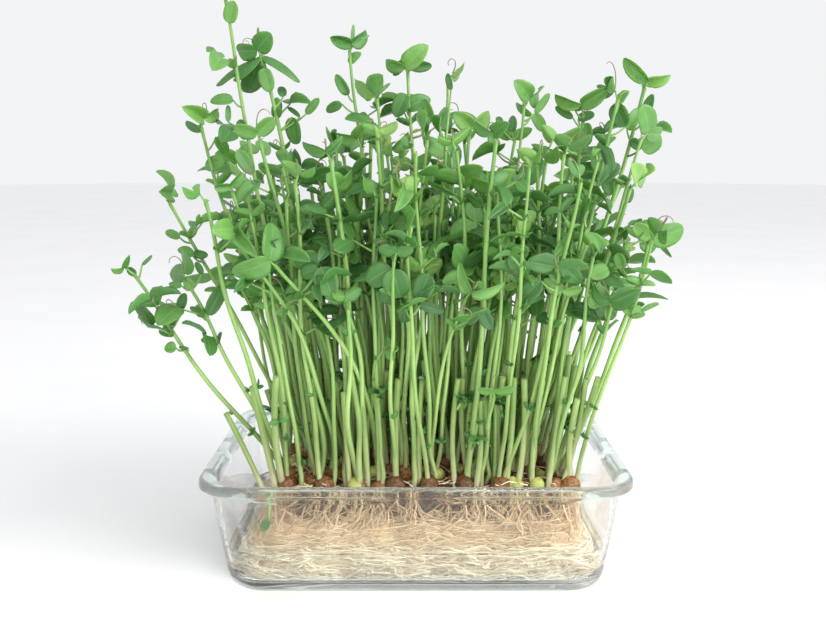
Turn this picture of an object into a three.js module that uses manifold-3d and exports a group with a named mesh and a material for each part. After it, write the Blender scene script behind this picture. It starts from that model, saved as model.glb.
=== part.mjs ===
import * as THREE from "three";
import { mergeVertices } from "three/addons/utils/BufferGeometryUtils.js";
import Module from "manifold-3d";

const wasm = await Module();
wasm.setup();

// Pea shoots growing on a mat of their own roots in a clear glass food container.
// Millimetres, +Z up. The container stands on z = 0 and is centred on the Z axis.
// Its long side runs along X, and -Y is the side that the photograph shows.

// Glass container: rim, body and floor
const RIM_HALF_X = 104.4;
const RIM_HALF_Y = 74.8;
const RIM_TOP = 56.7;
const RIM_CORNER = 22;
const LIP_HEIGHT = 5.2;
const LIP_WIDTH = 6;
const NECK_INSET = 4.3;
const WALL = 3.0;
const FLOOR_TOP = 3.2;
const FOOT_HALF_X = 88.5;
const FOOT_HALF_Y = 58.6;
const BODY_LOW_HALF_X = 93.6;
const BODY_LOW_Z = 4.6;
const BODY_HIGH_HALF_X = 99.6;
const BODY_HIGH_Z = 47;
const SIDE_DIFFERENCE = 30.2; // how much shorter the half depth is than the half length
const LUG_TOP = 52.6;
const LUG_HEIGHT = 3.2;
const LUG_REACH = 105.9;
const GAP = 0.35; // clear space between neighbours that touch

// Water
const WATER_TOP = 20.8;
const POCKET_HALF_X = 88;
const POCKET_HALF_Y = 57.6;
const POCKET_FLOOR = 4.6;

// Root mat and the layer of peas
const MAT_BOTTOM = POCKET_FLOOR + GAP;
const MAT_TOP = 46.1;
const BED_BOTTOM = MAT_TOP + GAP;
const BED_TOP = 49.6;
const BED_LEFT = -68;
const BED_RIGHT = 78;
const BED_FRONT = -60;
const BED_BACK = 54;
const BED_CENTRE_X = (BED_LEFT + BED_RIGHT) / 2;
const BED_CENTRE_Y = (BED_FRONT + BED_BACK) / 2;
const PEA = 4.4;
const LOOSE_PEA_SIZES = [5.2, 4.8, 4.3, 3.9];
const LOOSE_CENTRE = BED_TOP + 2.6;

// Plants
const COLUMNS = 8;
const ROWS = 6;
const EDGE = 5; // from the bed's edge to the line of its outermost peas
const SITE_WIDE = (BED_RIGHT - BED_LEFT - 2 * EDGE) / COLUMNS;
const SITE_DEEP = (BED_BACK - BED_FRONT - 2 * EDGE) / ROWS;
const CORNER_SHIFTS = { 0: -8, 7: 9 }; // how far the two front corner plants stand out of their row
const LEAN_SIDE = 27; // how far outwards the tips of the outermost plants lean
const LEAN_FRONT = 17;
const LEAN_BACK = 24;
const PEA_CENTRE = BED_TOP + GAP + PEA;
const STEM_LOW = 1.3;
const STEM_HIGH = 0.95;
const BLADE = 0.8;
const STUB_LOW = 99;
const STUB_HIGH = 112;
const TURNS = 10;
const MARGIN = 0.45; // how much wider a piece is made to test that it stays clear of others

// A repeatable fraction from 0 to 1 for a set of whole numbers.
function chance(...keys) {
  let h = 2166136261;
  for (const key of keys) {
    h = Math.imul(h ^ (key + 1), 16777619) >>> 0;
    h = (h ^ (h >>> 13)) >>> 0;
    h = Math.imul(h, 2246822519) >>> 0;
    h = (h ^ (h >>> 16)) >>> 0;
  }
  return h / 4294967296;
}

const between = (low, high, ...keys) => low + (high - low) * chance(...keys);
const plus = (a, b, k = 1) => [a[0] + b[0] * k, a[1] + b[1] * k, a[2] + b[2] * k];
const minus = (a, b) => [a[0] - b[0], a[1] - b[1], a[2] - b[2]];
const cross = (a, b) => [
  a[1] * b[2] - a[2] * b[1],
  a[2] * b[0] - a[0] * b[2],
  a[0] * b[1] - a[1] * b[0],
];
const size = (a) => Math.hypot(a[0], a[1], a[2]);
const unit = (a) => [a[0] / size(a), a[1] / size(a), a[2] / size(a)];

// Closed surfaces

function solidFrom(points, faces) {
  const geometry = new THREE.BufferGeometry();
  geometry.setAttribute("position", new THREE.Float32BufferAttribute(points.flat(), 3));
  geometry.setIndex(faces.flat());
  return solidOf(geometry);
}

function solidOf(geometry) {
  geometry.deleteAttribute("normal");
  geometry.deleteAttribute("uv");
  const merged = mergeVertices(geometry, 1e-4);
  return new wasm.Manifold(
    new wasm.Mesh({
      numProp: 3,
      vertProperties: merged.attributes.position.array,
      triVerts: new Uint32Array(merged.index.array),
    }),
  );
}

// A closed skin over rings of equal count, each ring anticlockwise seen from the end it runs to.
function skinRings(rings) {
  const count = rings[0].length;
  const faces = [];
  for (let r = 0; r + 1 < rings.length; r++) {
    for (let i = 0; i < count; i++) {
      const j = (i + 1) % count;
      const low = r * count;
      const high = low + count;
      faces.push([low + i, low + j, high + j]);
      faces.push([low + i, high + j, high + i]);
    }
  }
  const last = (rings.length - 1) * count;
  for (let i = 1; i + 1 < count; i++) {
    faces.push([0, i + 1, i]);
    faces.push([last, last + i, last + i + 1]);
  }
  return solidFrom(rings.flat(), faces);
}

// A closed tube along points, with a radius at each point.
function tube(points, radii, sides, turn = 0) {
  const rings = points.map((p, k) => {
    const ahead = points[Math.min(k + 1, points.length - 1)];
    const behind = points[Math.max(k - 1, 0)];
    const along = unit(minus(ahead, behind));
    const level = Math.abs(along[1]) < 0.9 ? [0, 1, 0] : [0, 0, 1];
    const across = unit(cross(level, along));
    const third = cross(along, across);
    return Array.from({ length: sides }, (_, i) => {
      const a = turn + (2 * Math.PI * i) / sides;
      return plus(plus(p, across, radii[k] * Math.cos(a)), third, radii[k] * Math.sin(a));
    });
  });
  return skinRings(rings);
}

// A level rounded rectangle, anticlockwise seen from above.
function roundedRing(left, right, front, back, corner, z, steps = 5) {
  const ring = [];
  const centres = [
    [right - corner, back - corner],
    [left + corner, back - corner],
    [left + corner, front + corner],
    [right - corner, front + corner],
  ];
  centres.forEach(([x, y], quarter) => {
    for (let i = 0; i <= steps; i++) {
      const a = ((quarter + i / steps) * Math.PI) / 2;
      ring.push([x + corner * Math.cos(a), y + corner * Math.sin(a), z]);
    }
  });
  return ring;
}

const centredRing = (halfX, halfY, corner, z) =>
  roundedRing(-halfX, halfX, -halfY, halfY, corner, z);

function namedMesh(name, body, material) {
  const made = body.getMesh();
  const geometry = new THREE.BufferGeometry();
  geometry.setAttribute("position", new THREE.BufferAttribute(made.vertProperties, 3));
  geometry.setIndex(new THREE.BufferAttribute(made.triVerts, 1));
  geometry.computeVertexNormals();
  const mesh = new THREE.Mesh(geometry, material);
  mesh.name = name;
  return mesh;
}

// Glass container

// Half length of the outer wall at a height, which leans outwards.
function wallHalfX(z) {
  const share = (z - BODY_LOW_Z) / (BODY_HIGH_Z - BODY_LOW_Z);
  return BODY_LOW_HALF_X + (BODY_HIGH_HALF_X - BODY_LOW_HALF_X) * share;
}

const wallRing = (z, inset, corner) =>
  centredRing(wallHalfX(z) - inset, wallHalfX(z) - SIDE_DIFFERENCE - inset, corner, z);

// A clip ledge that runs into the lip's lower edge, from one place to another along a side.
function lug(from, to, side) {
  const depth = 8;
  const low = LUG_TOP - LUG_HEIGHT;
  const reach = side === "front" || side === "back" ? LUG_REACH - SIDE_DIFFERENCE + 0.9 : LUG_REACH;
  const outline = [
    [from, reach - depth],
    [to, reach - depth],
    [to - 1.6, reach - 0.9],
    [to - 3.4, reach],
    [from + 3.4, reach],
    [from + 1.6, reach - 0.9],
  ];
  const turned = {
    back: ([a, b]) => [a, b],
    front: ([a, b]) => [-a, -b],
    right: ([a, b]) => [b, -a],
    left: ([a, b]) => [-b, a],
  }[side];
  const flat = outline.map(turned);
  return skinRings([
    flat.map(([x, y]) => [x, y, low]),
    flat.map(([x, y]) => [x, y, LUG_TOP]),
  ]);
}

function glassContainer() {
  const lipLow = RIM_TOP - LIP_HEIGHT;
  const mouth = LIP_WIDTH;
  let body = skinRings([
    centredRing(FOOT_HALF_X, FOOT_HALF_Y, 17, 0),
    centredRing(BODY_LOW_HALF_X - 2, BODY_LOW_HALF_X - 2 - SIDE_DIFFERENCE, 19, 1.2),
    wallRing(BODY_LOW_Z, 0, 21),
    wallRing(BODY_HIGH_Z, 0, 23),
    centredRing(RIM_HALF_X - NECK_INSET, RIM_HALF_Y - NECK_INSET, 23.5, lipLow - 0.6),
    centredRing(RIM_HALF_X - 0.6, RIM_HALF_Y - 0.6, RIM_CORNER - 0.4, lipLow),
    centredRing(RIM_HALF_X, RIM_HALF_Y, RIM_CORNER, lipLow + 1.1),
    centredRing(RIM_HALF_X - 0.9, RIM_HALF_Y - 0.9, RIM_CORNER - 0.6, RIM_TOP - 0.7),
    centredRing(RIM_HALF_X - 2.2, RIM_HALF_Y - 2.2, RIM_CORNER - 1.6, RIM_TOP),
    centredRing(RIM_HALF_X - mouth, RIM_HALF_Y - mouth, RIM_CORNER - 3.6, RIM_TOP - 0.8),
    wallRing(RIM_TOP - 4.5, WALL + 0.5, 20.5),
    wallRing(10, WALL, 17),
    wallRing(5.2, WALL + 2.0, 15),
    wallRing(FLOOR_TOP, WALL + 6.5, 11),
  ]);
  const spans = { front: [14, 74], back: [14, 74], left: [9, 43], right: [9, 43] };
  for (const [side, [near, far]] of Object.entries(spans)) {
    body = body.add(lug(near, far, side));
    body = body.add(lug(-far, -near, side));
  }
  return body;
}

// Water: what the container holds round and under the mat, with a plain pocket for it

function waterLayer() {
  const outer = skinRings([
    wallRing(FLOOR_TOP + GAP, WALL + 6.5 + GAP, 11),
    wallRing(5.2 + GAP, WALL + 2.0 + GAP, 15),
    wallRing(10, WALL + GAP, 17),
    wallRing(WATER_TOP, WALL + GAP, 18),
  ]);
  const pocket = skinRings([
    centredRing(POCKET_HALF_X - 3, POCKET_HALF_Y - 3, 12, POCKET_FLOOR),
    centredRing(POCKET_HALF_X, POCKET_HALF_Y, 14, POCKET_FLOOR + 3.5),
    centredRing(POCKET_HALF_X, POCKET_HALF_Y, 14, WATER_TOP + 2),
  ]);
  return outer.subtract(pocket);
}

// Root mat: one dense tangle, grooved between the strands that hang down its sides

const MAT_LEVELS = [
  { z: MAT_BOTTOM, left: -79, right: 80, front: -50, back: 49, corner: 12, relief: 0.4 },
  { z: 8.5, left: -83, right: 84, front: -53.2, back: 53, corner: 15, relief: 1.5 },
  { z: 19.5, left: -84, right: 85, front: -54.4, back: 54, corner: 17, relief: 1.6 },
  { z: 26, left: -77, right: 82, front: -56.5, back: 55, corner: 19, relief: 2.0 },
  { z: 36, left: -68, right: 78, front: -58, back: 54, corner: 17, relief: 2.8 },
  { z: MAT_TOP, left: -66, right: 76, front: -58, back: 52, corner: 15, relief: 2.4 },
];
const MAT_STEPS = 120;

// Points at even steps round a level rounded rectangle, with their outward directions.
function evenSteps({ left, right, front, back, corner, z }, count) {
  const fine = roundedRing(left, right, front, back, corner, z, 8);
  const lengths = fine.map((p, i) => size(minus(fine[(i + 1) % fine.length], p)));
  const around = lengths.reduce((a, b) => a + b, 0);
  const steps = [];
  let edge = 0;
  let passed = 0;
  for (let k = 0; k < count; k++) {
    const target = (around * k) / count;
    while (passed + lengths[edge] < target) {
      passed += lengths[edge];
      edge++;
    }
    const a = fine[edge];
    const b = fine[(edge + 1) % fine.length];
    const share = (target - passed) / lengths[edge];
    const along = unit(minus(b, a));
    steps.push({ point: plus(a, minus(b, a), share), out: [along[1], -along[0], 0] });
  }
  return steps;
}

// Ridges are the outermost strands. They wander a little to the sides from level to level.
function rootMat() {
  const rings = MAT_LEVELS.map((level, k) =>
    evenSteps(level, MAT_STEPS).map(({ point, out }, i) => {
      const ridge = i % 2 === 0;
      const inward = ridge ? between(0, 0.3, i, k, 40) : between(0.55, 1, i, k, 41);
      const aside = between(-0.7, 0.7, i - (i % 2), k, 42);
      const moved = plus(point, out, -level.relief * inward);
      return [moved[0] - out[1] * aside, moved[1] + out[0] * aside, moved[2]];
    }),
  );
  return skinRings(rings);
}

// Plants: where they stand

function plantSites() {
  const sites = [];
  for (let row = 0; row < ROWS; row++) {
    for (let column = 0; column < COLUMNS; column++) {
      const n = sites.length;
      const stagger = row % 2 ? 0.16 : -0.16;
      const x = BED_LEFT + EDGE + (column + 0.5 + stagger + between(-0.12, 0.12, n, 1)) * SITE_WIDE;
      const y = BED_FRONT + EDGE + (row + 0.5 + between(-0.12, 0.12, n, 2)) * SITE_DEEP;
      sites.push([x + (CORNER_SHIFTS[n] ?? 0), y]);
    }
  }
  return sites;
}

// Shoots that the photograph shows by themselves: foot, tip and sideways bow.
const SINGLE_SHOOTS = [
  { foot: [-66, -54], tip: [-129, -62, 155], bow: [-9, 0], leaves: 3 },
  { foot: [-66, -40], tip: [-108, -50, 150], bow: [-3, 0], leaves: 3 },
  { foot: [-62, -28], tip: [-114, -46, 186], bow: [-6, 0], leaves: 3 },
  { foot: [-58, -8], tip: [-108, -6, 222], bow: [-4, 0], leaves: 3 },
  { foot: [-60, 8], tip: [-94, -10, 284], bow: [-6, 2], leaves: 3 },
  { foot: [-44, 6], tip: [-78, 2, 258], bow: [-4, 0], leaves: 3 },
  { foot: [-24, 20], tip: [-34, 20, 262], bow: [3, 0], leaves: 3 },
  { foot: [-12, -10], tip: [-19, -12, 236], bow: [-3, 0], leaves: 3 },
  { foot: [2, 8], tip: [-3, 10, 250], bow: [2, 0], leaves: 3 },
  { foot: [16, 22], tip: [16, 24, 246], bow: [3, 0], leaves: 3 },
  { foot: [44, 10], tip: [55, 10, 233], bow: [-2, 0], leaves: 3 },
  { foot: [60, 8], tip: [86, 8, 229], bow: [3, 0], leaves: 3 },
  { foot: [70, -4], tip: [101, -2, 236], bow: [5, 0], leaves: 3 },
  { foot: [72, 14], tip: [118, 6, 242], bow: [6, 0], leaves: 3 },
  { foot: [66, -22], tip: [112, -16, 216], bow: [4, 0], leaves: 3 },
  { foot: [70, 34], tip: [112, 34, 190], bow: [5, 0], leaves: 3 },
  { foot: [68, -40], tip: [112, -38, 166], bow: [5, 0], leaves: 3 },
  { foot: [72, -54], tip: [90, -64, 140], bow: [2, 0], leaves: 2 },
  { foot: [-20, -56], tip: [-62, -72, 160], bow: [10, 0], leaves: 2 },
  { foot: [-46, -56], tip: [-80, -74, 172], bow: [8, 0], leaves: 2 },
  { foot: [-22, -54], tip: [-16, -64, 114], bow: [-2, 0], leaves: 1 },
  { foot: [32, -54], tip: [35, -64, 98], bow: [2, 0], leaves: 1 },
  { foot: [64, 48], tip: [92, 62, 205], bow: [4, 2], leaves: 2 },
  { foot: [-50, 46], tip: [-86, 60, 208], bow: [-4, 2], leaves: 2 },
];

function nearestSite(sites, [x, y], taken) {
  let best = -1;
  let least = Infinity;
  sites.forEach(([sx, sy], n) => {
    const far = Math.hypot(sx - x, sy - y) + 9 * taken[n];
    if (far < least) {
      least = far;
      best = n;
    }
  });
  return best;
}

// Stems rise from the pea side by side: places of the shoots, then of the stubs.
const STEM_PLACES = [0, 2, 4, 1, 3];

function stemRoot([x, y], plant, index) {
  const way = 2 * Math.PI * (chance(plant, 12) + STEM_PLACES[index] / 5);
  return [x + 2.5 * Math.cos(way), y + 2.5 * Math.sin(way), PEA_CENTRE + 1.2];
}

// Every shoot of every plant, single ones first. A shoot keeps a list of tips to try in turn.
function shootPlan(sites) {
  const taken = sites.map(() => 0);
  const plan = [];
  for (const single of SINGLE_SHOOTS) {
    const plant = nearestSite(sites, single.foot, taken);
    plan.push({ plant, number: taken[plant], single: true, ...single });
    taken[plant]++;
  }
  for (let round = 0; round < 2; round++) {
    sites.forEach(([x, y], plant) => {
      if (taken[plant] > round || (round === 1 && chance(plant, 3) > 0.5)) return;
      const number = taken[plant];
      const u = (x - BED_CENTRE_X) / 68;
      const v = (y - BED_CENTRE_Y) / 50;
      const tip = [
        x + LEAN_SIDE * u + between(-11, 11, plant, number, 4),
        y + (v > 0 ? LEAN_BACK : LEAN_FRONT) * v + between(-10, 10, plant, number, 5),
        between(150, 222, plant, number, 6) - 14 * (u * u + v * v) * chance(plant, number, 7),
      ];
      const bow = [between(-5, 5, plant, number, 8), between(-4, 4, plant, number, 9)];
      plan.push({ plant, number, single: false, tip, bow, leaves: 1 });
      taken[plant]++;
    });
  }
  return plan;
}

// Where a shoot passes at a share of its height from the pea to the tip.
function shootAt(shoot, share) {
  const [x, y, z] = shoot.root;
  const [tx, ty, tz] = shoot.tip;
  const lean = Math.pow(Math.max(share, 0), 1.25);
  const belly = Math.sin(Math.PI * share);
  const sway = 1.1 * Math.sin(3 * Math.PI * share + shoot.plant);
  return [
    x + (tx - x) * lean + shoot.bow[0] * belly + sway * share,
    y + (ty - y) * lean + shoot.bow[1] * belly,
    z + (tz - z) * share,
  ];
}

const SHOOT_SHARES = [0, 0.24, 0.5, 0.76, 1];

function shootTube(shoot, spare) {
  const points = SHOOT_SHARES.map((share) => shootAt(shoot, share));
  const radii = SHOOT_SHARES.map((share) => {
    const round = STEM_LOW + (STEM_HIGH - STEM_LOW) * share;
    return round * 1.35 + spare;
  });
  return tube(points, radii, 3, chance(shoot.plant, shoot.number, 10) * 2);
}

// A leaf: its stalk from the shoot, and the two leaflets that part at the stalk's end.
function leafPlan(shoot, place, turn) {
  const keys = [shoot.plant, shoot.number, place];
  const share = place === 0 ? 0.995 : 1 - 0.15 * place - between(-0.03, 0.03, ...keys, 20);
  const from = shootAt(shoot, share);
  const ahead = unit(minus(shootAt(shoot, share + 0.01), shootAt(shoot, share - 0.01)));
  const way = 2 * Math.PI * (chance(...keys, 21) + (turn * 3) / TURNS);
  const side = [Math.cos(way), Math.sin(way), 0];
  const arm = unit(plus(side, ahead, place === 0 ? 2.2 : between(0.35, 0.9, ...keys, 22)));
  const reach = place === 0 ? between(3.5, 6, ...keys, 23) : between(8, 14, ...keys, 23);
  const tilt = [between(-0.5, 0.5, ...keys, 24), between(-0.7, 0.2, ...keys, 25), 1];
  const sky = place === 0 ? plus(side, tilt, 0.4) : tilt;
  const lateral = unit(cross(arm, sky));
  const face = cross(lateral, arm);
  const angle = between(1.0, 1.25, ...keys, 26);
  const leaflets = [1, -1].map((hand, k) => ({
    along: plus(plus([0, 0, 0], arm, Math.cos(angle)), lateral, hand * Math.sin(angle)),
    across: plus(plus([0, 0, 0], arm, Math.sin(angle)), lateral, -hand * Math.cos(angle)),
    long: between(11, 16.5, ...keys, k, 27),
    wide: between(0.7, 0.84, ...keys, k, 28),
    rise: between(-0.25, 0.35, ...keys, k, 29),
  }));
  return { from, arm, lateral, face, reach, leaflets };
}

// Outline of a leaflet from the side near the stalk round to the side ahead of it.
const LEAFLET = [
  [0.42, -0.5],
  [0.86, -0.34],
  [1, 0.06],
  [0.6, 0.47],
];
const CUP = 0.22;

function leafletPoint(leaf, leaflet, [s, half], spare) {
  const foot = plus(leaf.from, leaf.arm, leaf.reach + 0.4);
  const long = leaflet.long + spare;
  const wide = leaflet.long * leaflet.wide + 2 * spare;
  let p = plus(foot, leaflet.along, s * long);
  p = plus(p, leaflet.across, half * wide);
  return plus(p, leaf.face, leaflet.rise * s * long + CUP * Math.abs(half) * wide);
}

// Stalk and leaflets as one thin piece of even thickness, creased along each rib.
function leafSolid(leaf, spare) {
  const { from, arm, lateral, face, reach, leaflets } = leaf;
  const slim = 0.65 + spare;
  const at = (ahead, aside) => plus(plus(from, arm, ahead), lateral, aside);
  const right = LEAFLET.map((p) => leafletPoint(leaf, leaflets[0], p, spare));
  const left = LEAFLET.map((p) => leafletPoint(leaf, leaflets[1], p, spare)).reverse();
  const rim = [
    at(-0.3, 0),
    at(reach - 0.3, slim),
    ...right,
    at(reach + 1.4, 0),
    ...left,
    at(reach - 0.3, -slim),
  ];
  const n = rim.length;
  const lift = BLADE / 2 + spare;
  const points = [...rim.map((p) => plus(p, face, lift)), ...rim.map((p) => plus(p, face, -lift))];
  const top = [
    [0, 1, 11],
    [1, 6, 11],
    [1, 2, 4],
    [2, 3, 4],
    [1, 4, 6],
    [4, 5, 6],
    [11, 6, 8],
    [6, 7, 8],
    [11, 8, 10],
    [8, 9, 10],
  ];
  const faces = [];
  for (const [i, j, k] of top) {
    faces.push([i, j, k]);
    faces.push([i + n, k + n, j + n]);
  }
  for (let i = 0; i < n; i++) {
    const j = (i + 1) % n;
    faces.push([i + n, j + n, j]);
    faces.push([i + n, j, i]);
  }
  return solidFrom(points, faces);
}

// Growing: each piece takes the first of its places that stays clear of what already stands

const placed = [];

function note(solid, plant, shoot) {
  placed.push({ solid, box: solid.boundingBox(), plant, shoot });
}

function apart(a, b) {
  return [0, 1, 2].some((k) => a.max[k] < b.min[k] || b.max[k] < a.min[k]);
}

// True if a widened test piece stays clear of everything except what skip names.
function isClear(test, skip) {
  const box = test.boundingBox();
  return placed.every((other) => {
    if (skip(other) || apart(box, other.box)) return true;
    return test.intersect(other.solid).isEmpty();
  });
}

// A pea with few sides, a little squashed.
function peaSolid(x, y, z, radius, ...keys) {
  const geometry = new THREE.IcosahedronGeometry(radius, 0);
  geometry.scale(1, between(0.9, 1, ...keys, 31), between(0.84, 0.92, ...keys, 32));
  geometry.rotateX(0.3 + between(0, 0.5, ...keys, 33));
  geometry.rotateZ(2 * Math.PI * chance(...keys, 34));
  geometry.translate(x, y, z);
  return solidOf(geometry);
}

// Peas between the plants: one in each gap of their rows and columns, sunk in the bed's tangle.
function loosePeas() {
  const peas = [];
  for (let row = 0; row <= ROWS; row++) {
    const stagger = row % 2 ? -0.08 : 0.08;
    for (let column = 0; column <= COLUMNS; column++) {
      const n = row * (COLUMNS + 1) + column;
      const x = BED_LEFT + EDGE + (column + stagger + between(-0.06, 0.06, n, 51)) * SITE_WIDE;
      const y = BED_FRONT + EDGE + (row + between(-0.06, 0.06, n, 52)) * SITE_DEEP;
      peas.push([x, y, n]);
    }
  }
  return peas;
}

const peaAt = (x, y, radius, n) => peaSolid(x, y, LOOSE_CENTRE, radius, n, 54);

function seedBed() {
  const slab = { left: BED_LEFT, right: BED_RIGHT, front: BED_FRONT, back: BED_BACK, corner: 9 };
  const ring = (z, inset) =>
    evenSteps({ ...slab, z }, 30).map(({ point, out }, i) =>
      plus(point, out, -inset - between(0, 2.2, i, 53)),
    );
  let body = skinRings([ring(BED_BOTTOM, 1.2), ring(BED_TOP, 0)]);
  for (const [x, y, n] of loosePeas()) {
    const radius = LOOSE_PEA_SIZES.find((r) => isClear(peaAt(x, y, r + MARGIN, n), () => false));
    if (radius) body = body.add(peaAt(x, y, radius, n));
  }
  return body;
}

const glass = glassContainer();
const water = waterLayer();
const mat = rootMat();
const sites = plantSites();
note(glass, -1, -1);

const plants = sites.map(([x, y], n) => {
  const pea = peaSolid(x, y, PEA_CENTRE, PEA, n, 55);
  note(pea, n, -1);
  return { body: pea };
});
const bed = seedBed();
note(bed, -1, -1);

const shoots = [];
for (const shoot of shootPlan(sites)) {
  const wanted = shoot.tip;
  for (let turn = 0; turn < TURNS; turn++) {
    const step = shoot.single ? 2.6 : 5;
    const way = turn * 2.4;
    const shift = step * Math.sqrt(turn);
    shoot.root = stemRoot(sites[shoot.plant], shoot.plant, shoot.number);
    shoot.tip = [wanted[0] + shift * Math.cos(way), wanted[1] + shift * Math.sin(way), wanted[2]];
    const own = (other) => other.plant === shoot.plant && other.shoot < 0;
    if (!isClear(shootTube(shoot, MARGIN), own)) continue;
    const stem = shootTube(shoot, 0);
    note(stem, shoot.plant, shoot.number);
    plants[shoot.plant].body = plants[shoot.plant].body.add(stem);
    shoots.push(shoot);
    break;
  }
}

// Stubs of the first harvest: cut straight across, about a third of the shoots' height.
// The photograph shows one by itself at each front corner.
const SINGLE_STUBS = { 0: [-89, -58, 88], 7: [86, -56, 87] };

function stubEnds(plant, number, turn) {
  const [x, y, z] = stemRoot(sites[plant], plant, 3 + number);
  if (number === 0 && turn === 0 && SINGLE_STUBS[plant]) return [[x, y, z], SINGLE_STUBS[plant]];
  const u = (x - BED_CENTRE_X) / 68;
  const v = (y - BED_CENTRE_Y) / 50;
  const keys = [plant, number, turn];
  const top = [
    x + 7 * u + between(-8, 8, ...keys, 61),
    y + 5 * v + between(-8, 8, ...keys, 62),
    between(STUB_LOW, STUB_HIGH, ...keys, 63),
  ];
  return [[x, y, z], top];
}

sites.forEach((_, plant) => {
  const wanted = chance(plant, 64) < 0.45 ? 2 : 1;
  for (let number = 0; number < wanted; number++) {
    for (let turn = 0; turn < 3 * TURNS; turn++) {
      const [low, top] = stubEnds(plant, number, turn);
      const radii = [STEM_LOW * 1.35, STEM_LOW * 1.25];
      const wide = tube([low, top], radii.map((r) => r + MARGIN), 3, 1);
      if (!isClear(wide, (other) => other.plant === plant && other.shoot < 0)) continue;
      const stub = tube([low, top], radii, 3, 1);
      note(stub, plant, 100 + number);
      plants[plant].body = plants[plant].body.add(stub);
      break;
    }
  }
});

let leaves = 0;
for (let place = 0; place < 3; place++) {
  for (const shoot of shoots) {
    const second = place === 1 && chance(shoot.plant, shoot.number, 65) < 0.3;
    if (place >= shoot.leaves && !second) continue;
    for (let turn = 0; turn < TURNS; turn++) {
      const leaf = leafPlan(shoot, place, turn);
      const carrier = (other) => other.plant === shoot.plant && other.shoot === shoot.number;
      if (!isClear(leafSolid(leaf, MARGIN), carrier)) continue;
      const piece = leafSolid(leaf, 0);
      note(piece, shoot.plant, 1000 + leaves);
      plants[shoot.plant].body = plants[shoot.plant].body.add(piece);
      leaves++;
      break;
    }
  }
}

// Naming and colours

const paint = (color, roughness) => new THREE.MeshStandardMaterial({ color, roughness });
const clear = (color, opacity) =>
  new THREE.MeshStandardMaterial({ color, roughness: 0.05, transparent: true, opacity });

const group = new THREE.Group();
group.name = "pea_shoot_tray";
group.add(namedMesh("glass_container", glass, clear("#d5e8e2", 0.35)));
group.add(namedMesh("water", water, clear("#d8ecec", 0.5)));
group.add(namedMesh("root_mat", mat, paint("#e2cda6", 0.8)));
group.add(namedMesh("seed_bed", bed, paint("#8a5a38", 0.7)));
plants.forEach(({ body }, n) => {
  const name = "plant_" + String(n + 1).padStart(2, "0");
  group.add(namedMesh(name, body, paint("#7fae52", 0.55)));
});

export default group;
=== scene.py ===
# %% [markdown]
# # Pea shoots in a glass tray
# A clear glass food container holds a little water, a thick mat of roots and a layer of sprouted peas.
# Long pale stems fan out of it, each with pairs of round leaflets.
# Short stubs are left from a first harvest.
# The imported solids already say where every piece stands, so this lesson keeps their places
# and makes each piece again with finer shapes and procedural finishes.

import math

import bpy
import numpy as np
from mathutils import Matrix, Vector, noise


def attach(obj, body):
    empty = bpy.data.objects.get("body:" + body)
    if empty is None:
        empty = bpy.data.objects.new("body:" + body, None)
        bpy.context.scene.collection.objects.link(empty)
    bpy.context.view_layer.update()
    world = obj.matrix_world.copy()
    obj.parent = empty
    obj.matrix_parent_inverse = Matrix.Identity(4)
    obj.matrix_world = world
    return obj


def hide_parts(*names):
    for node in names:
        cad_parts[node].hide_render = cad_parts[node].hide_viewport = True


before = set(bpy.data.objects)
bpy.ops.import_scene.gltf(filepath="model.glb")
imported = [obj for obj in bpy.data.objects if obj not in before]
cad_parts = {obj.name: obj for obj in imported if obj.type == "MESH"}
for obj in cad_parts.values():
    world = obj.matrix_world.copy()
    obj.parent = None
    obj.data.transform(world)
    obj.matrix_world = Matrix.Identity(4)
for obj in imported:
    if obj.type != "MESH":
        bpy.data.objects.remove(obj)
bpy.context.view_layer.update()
print("solids loaded:", len(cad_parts))

# %% [markdown]
# ## Measures
# One rule places the plants, and the same measures drive the solids and this scene.
# All of them are millimetres here. A mesh is turned to metres only when it is made.

# %% Measures of the tray, its water, mat and peas
RIM_HALF_X, RIM_HALF_Y, RIM_TOP, RIM_CORNER = 104.4, 74.8, 56.7, 22
LIP_HEIGHT, LIP_WIDTH, NECK_INSET = 5.2, 6, 4.3
WALL, FLOOR_TOP = 3.0, 3.2
FOOT_HALF_X, FOOT_HALF_Y = 88.5, 58.6
BODY_LOW_HALF_X, BODY_LOW_Z = 93.6, 4.6
BODY_HIGH_HALF_X, BODY_HIGH_Z = 99.6, 47
SIDE_DIFFERENCE = 30.2
LUG_TOP, LUG_HEIGHT, LUG_REACH = 52.6, 3.2, 105.9
GAP, WATER_TOP = 0.35, 20.8
MAT_BOTTOM, MAT_TOP, BED_TOP = 4.95, 46.1, 49.6
BED_LEFT, BED_RIGHT, BED_FRONT, BED_BACK = -68, 78, -60, 54
BED_X, BED_Y = (BED_LEFT + BED_RIGHT) / 2, (BED_FRONT + BED_BACK) / 2
PEA, LOOSE_CENTRE = 4.4, BED_TOP + 2.6
PEA_CENTRE = BED_TOP + GAP + PEA
COLUMNS, ROWS, TURNS, EDGE = 8, 6, 10, 5
SITE_WIDE = (BED_RIGHT - BED_LEFT - 2 * EDGE) / COLUMNS
SITE_DEEP = (BED_BACK - BED_FRONT - 2 * EDGE) / ROWS
CORNER_SHIFTS = {0: -8, 7: 9}
LEAN_SIDE, LEAN_FRONT, LEAN_BACK = 27, 17, 24
STEM_LOW, STEM_HIGH, BLADE = 1.3, 0.95, 0.8
STUB_LOW, STUB_HIGH = 99, 112

# %% The camera that took the photograph, fitted to the tray's rim lines
PICTURE_WIDE, PICTURE_HIGH = 826, 620
FOCAL_PIXELS = 979.4
CAMERA_PLACE = (-1.4, -505.9, 210.9)
CAMERA_PITCH = math.radians(9.305)


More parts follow.
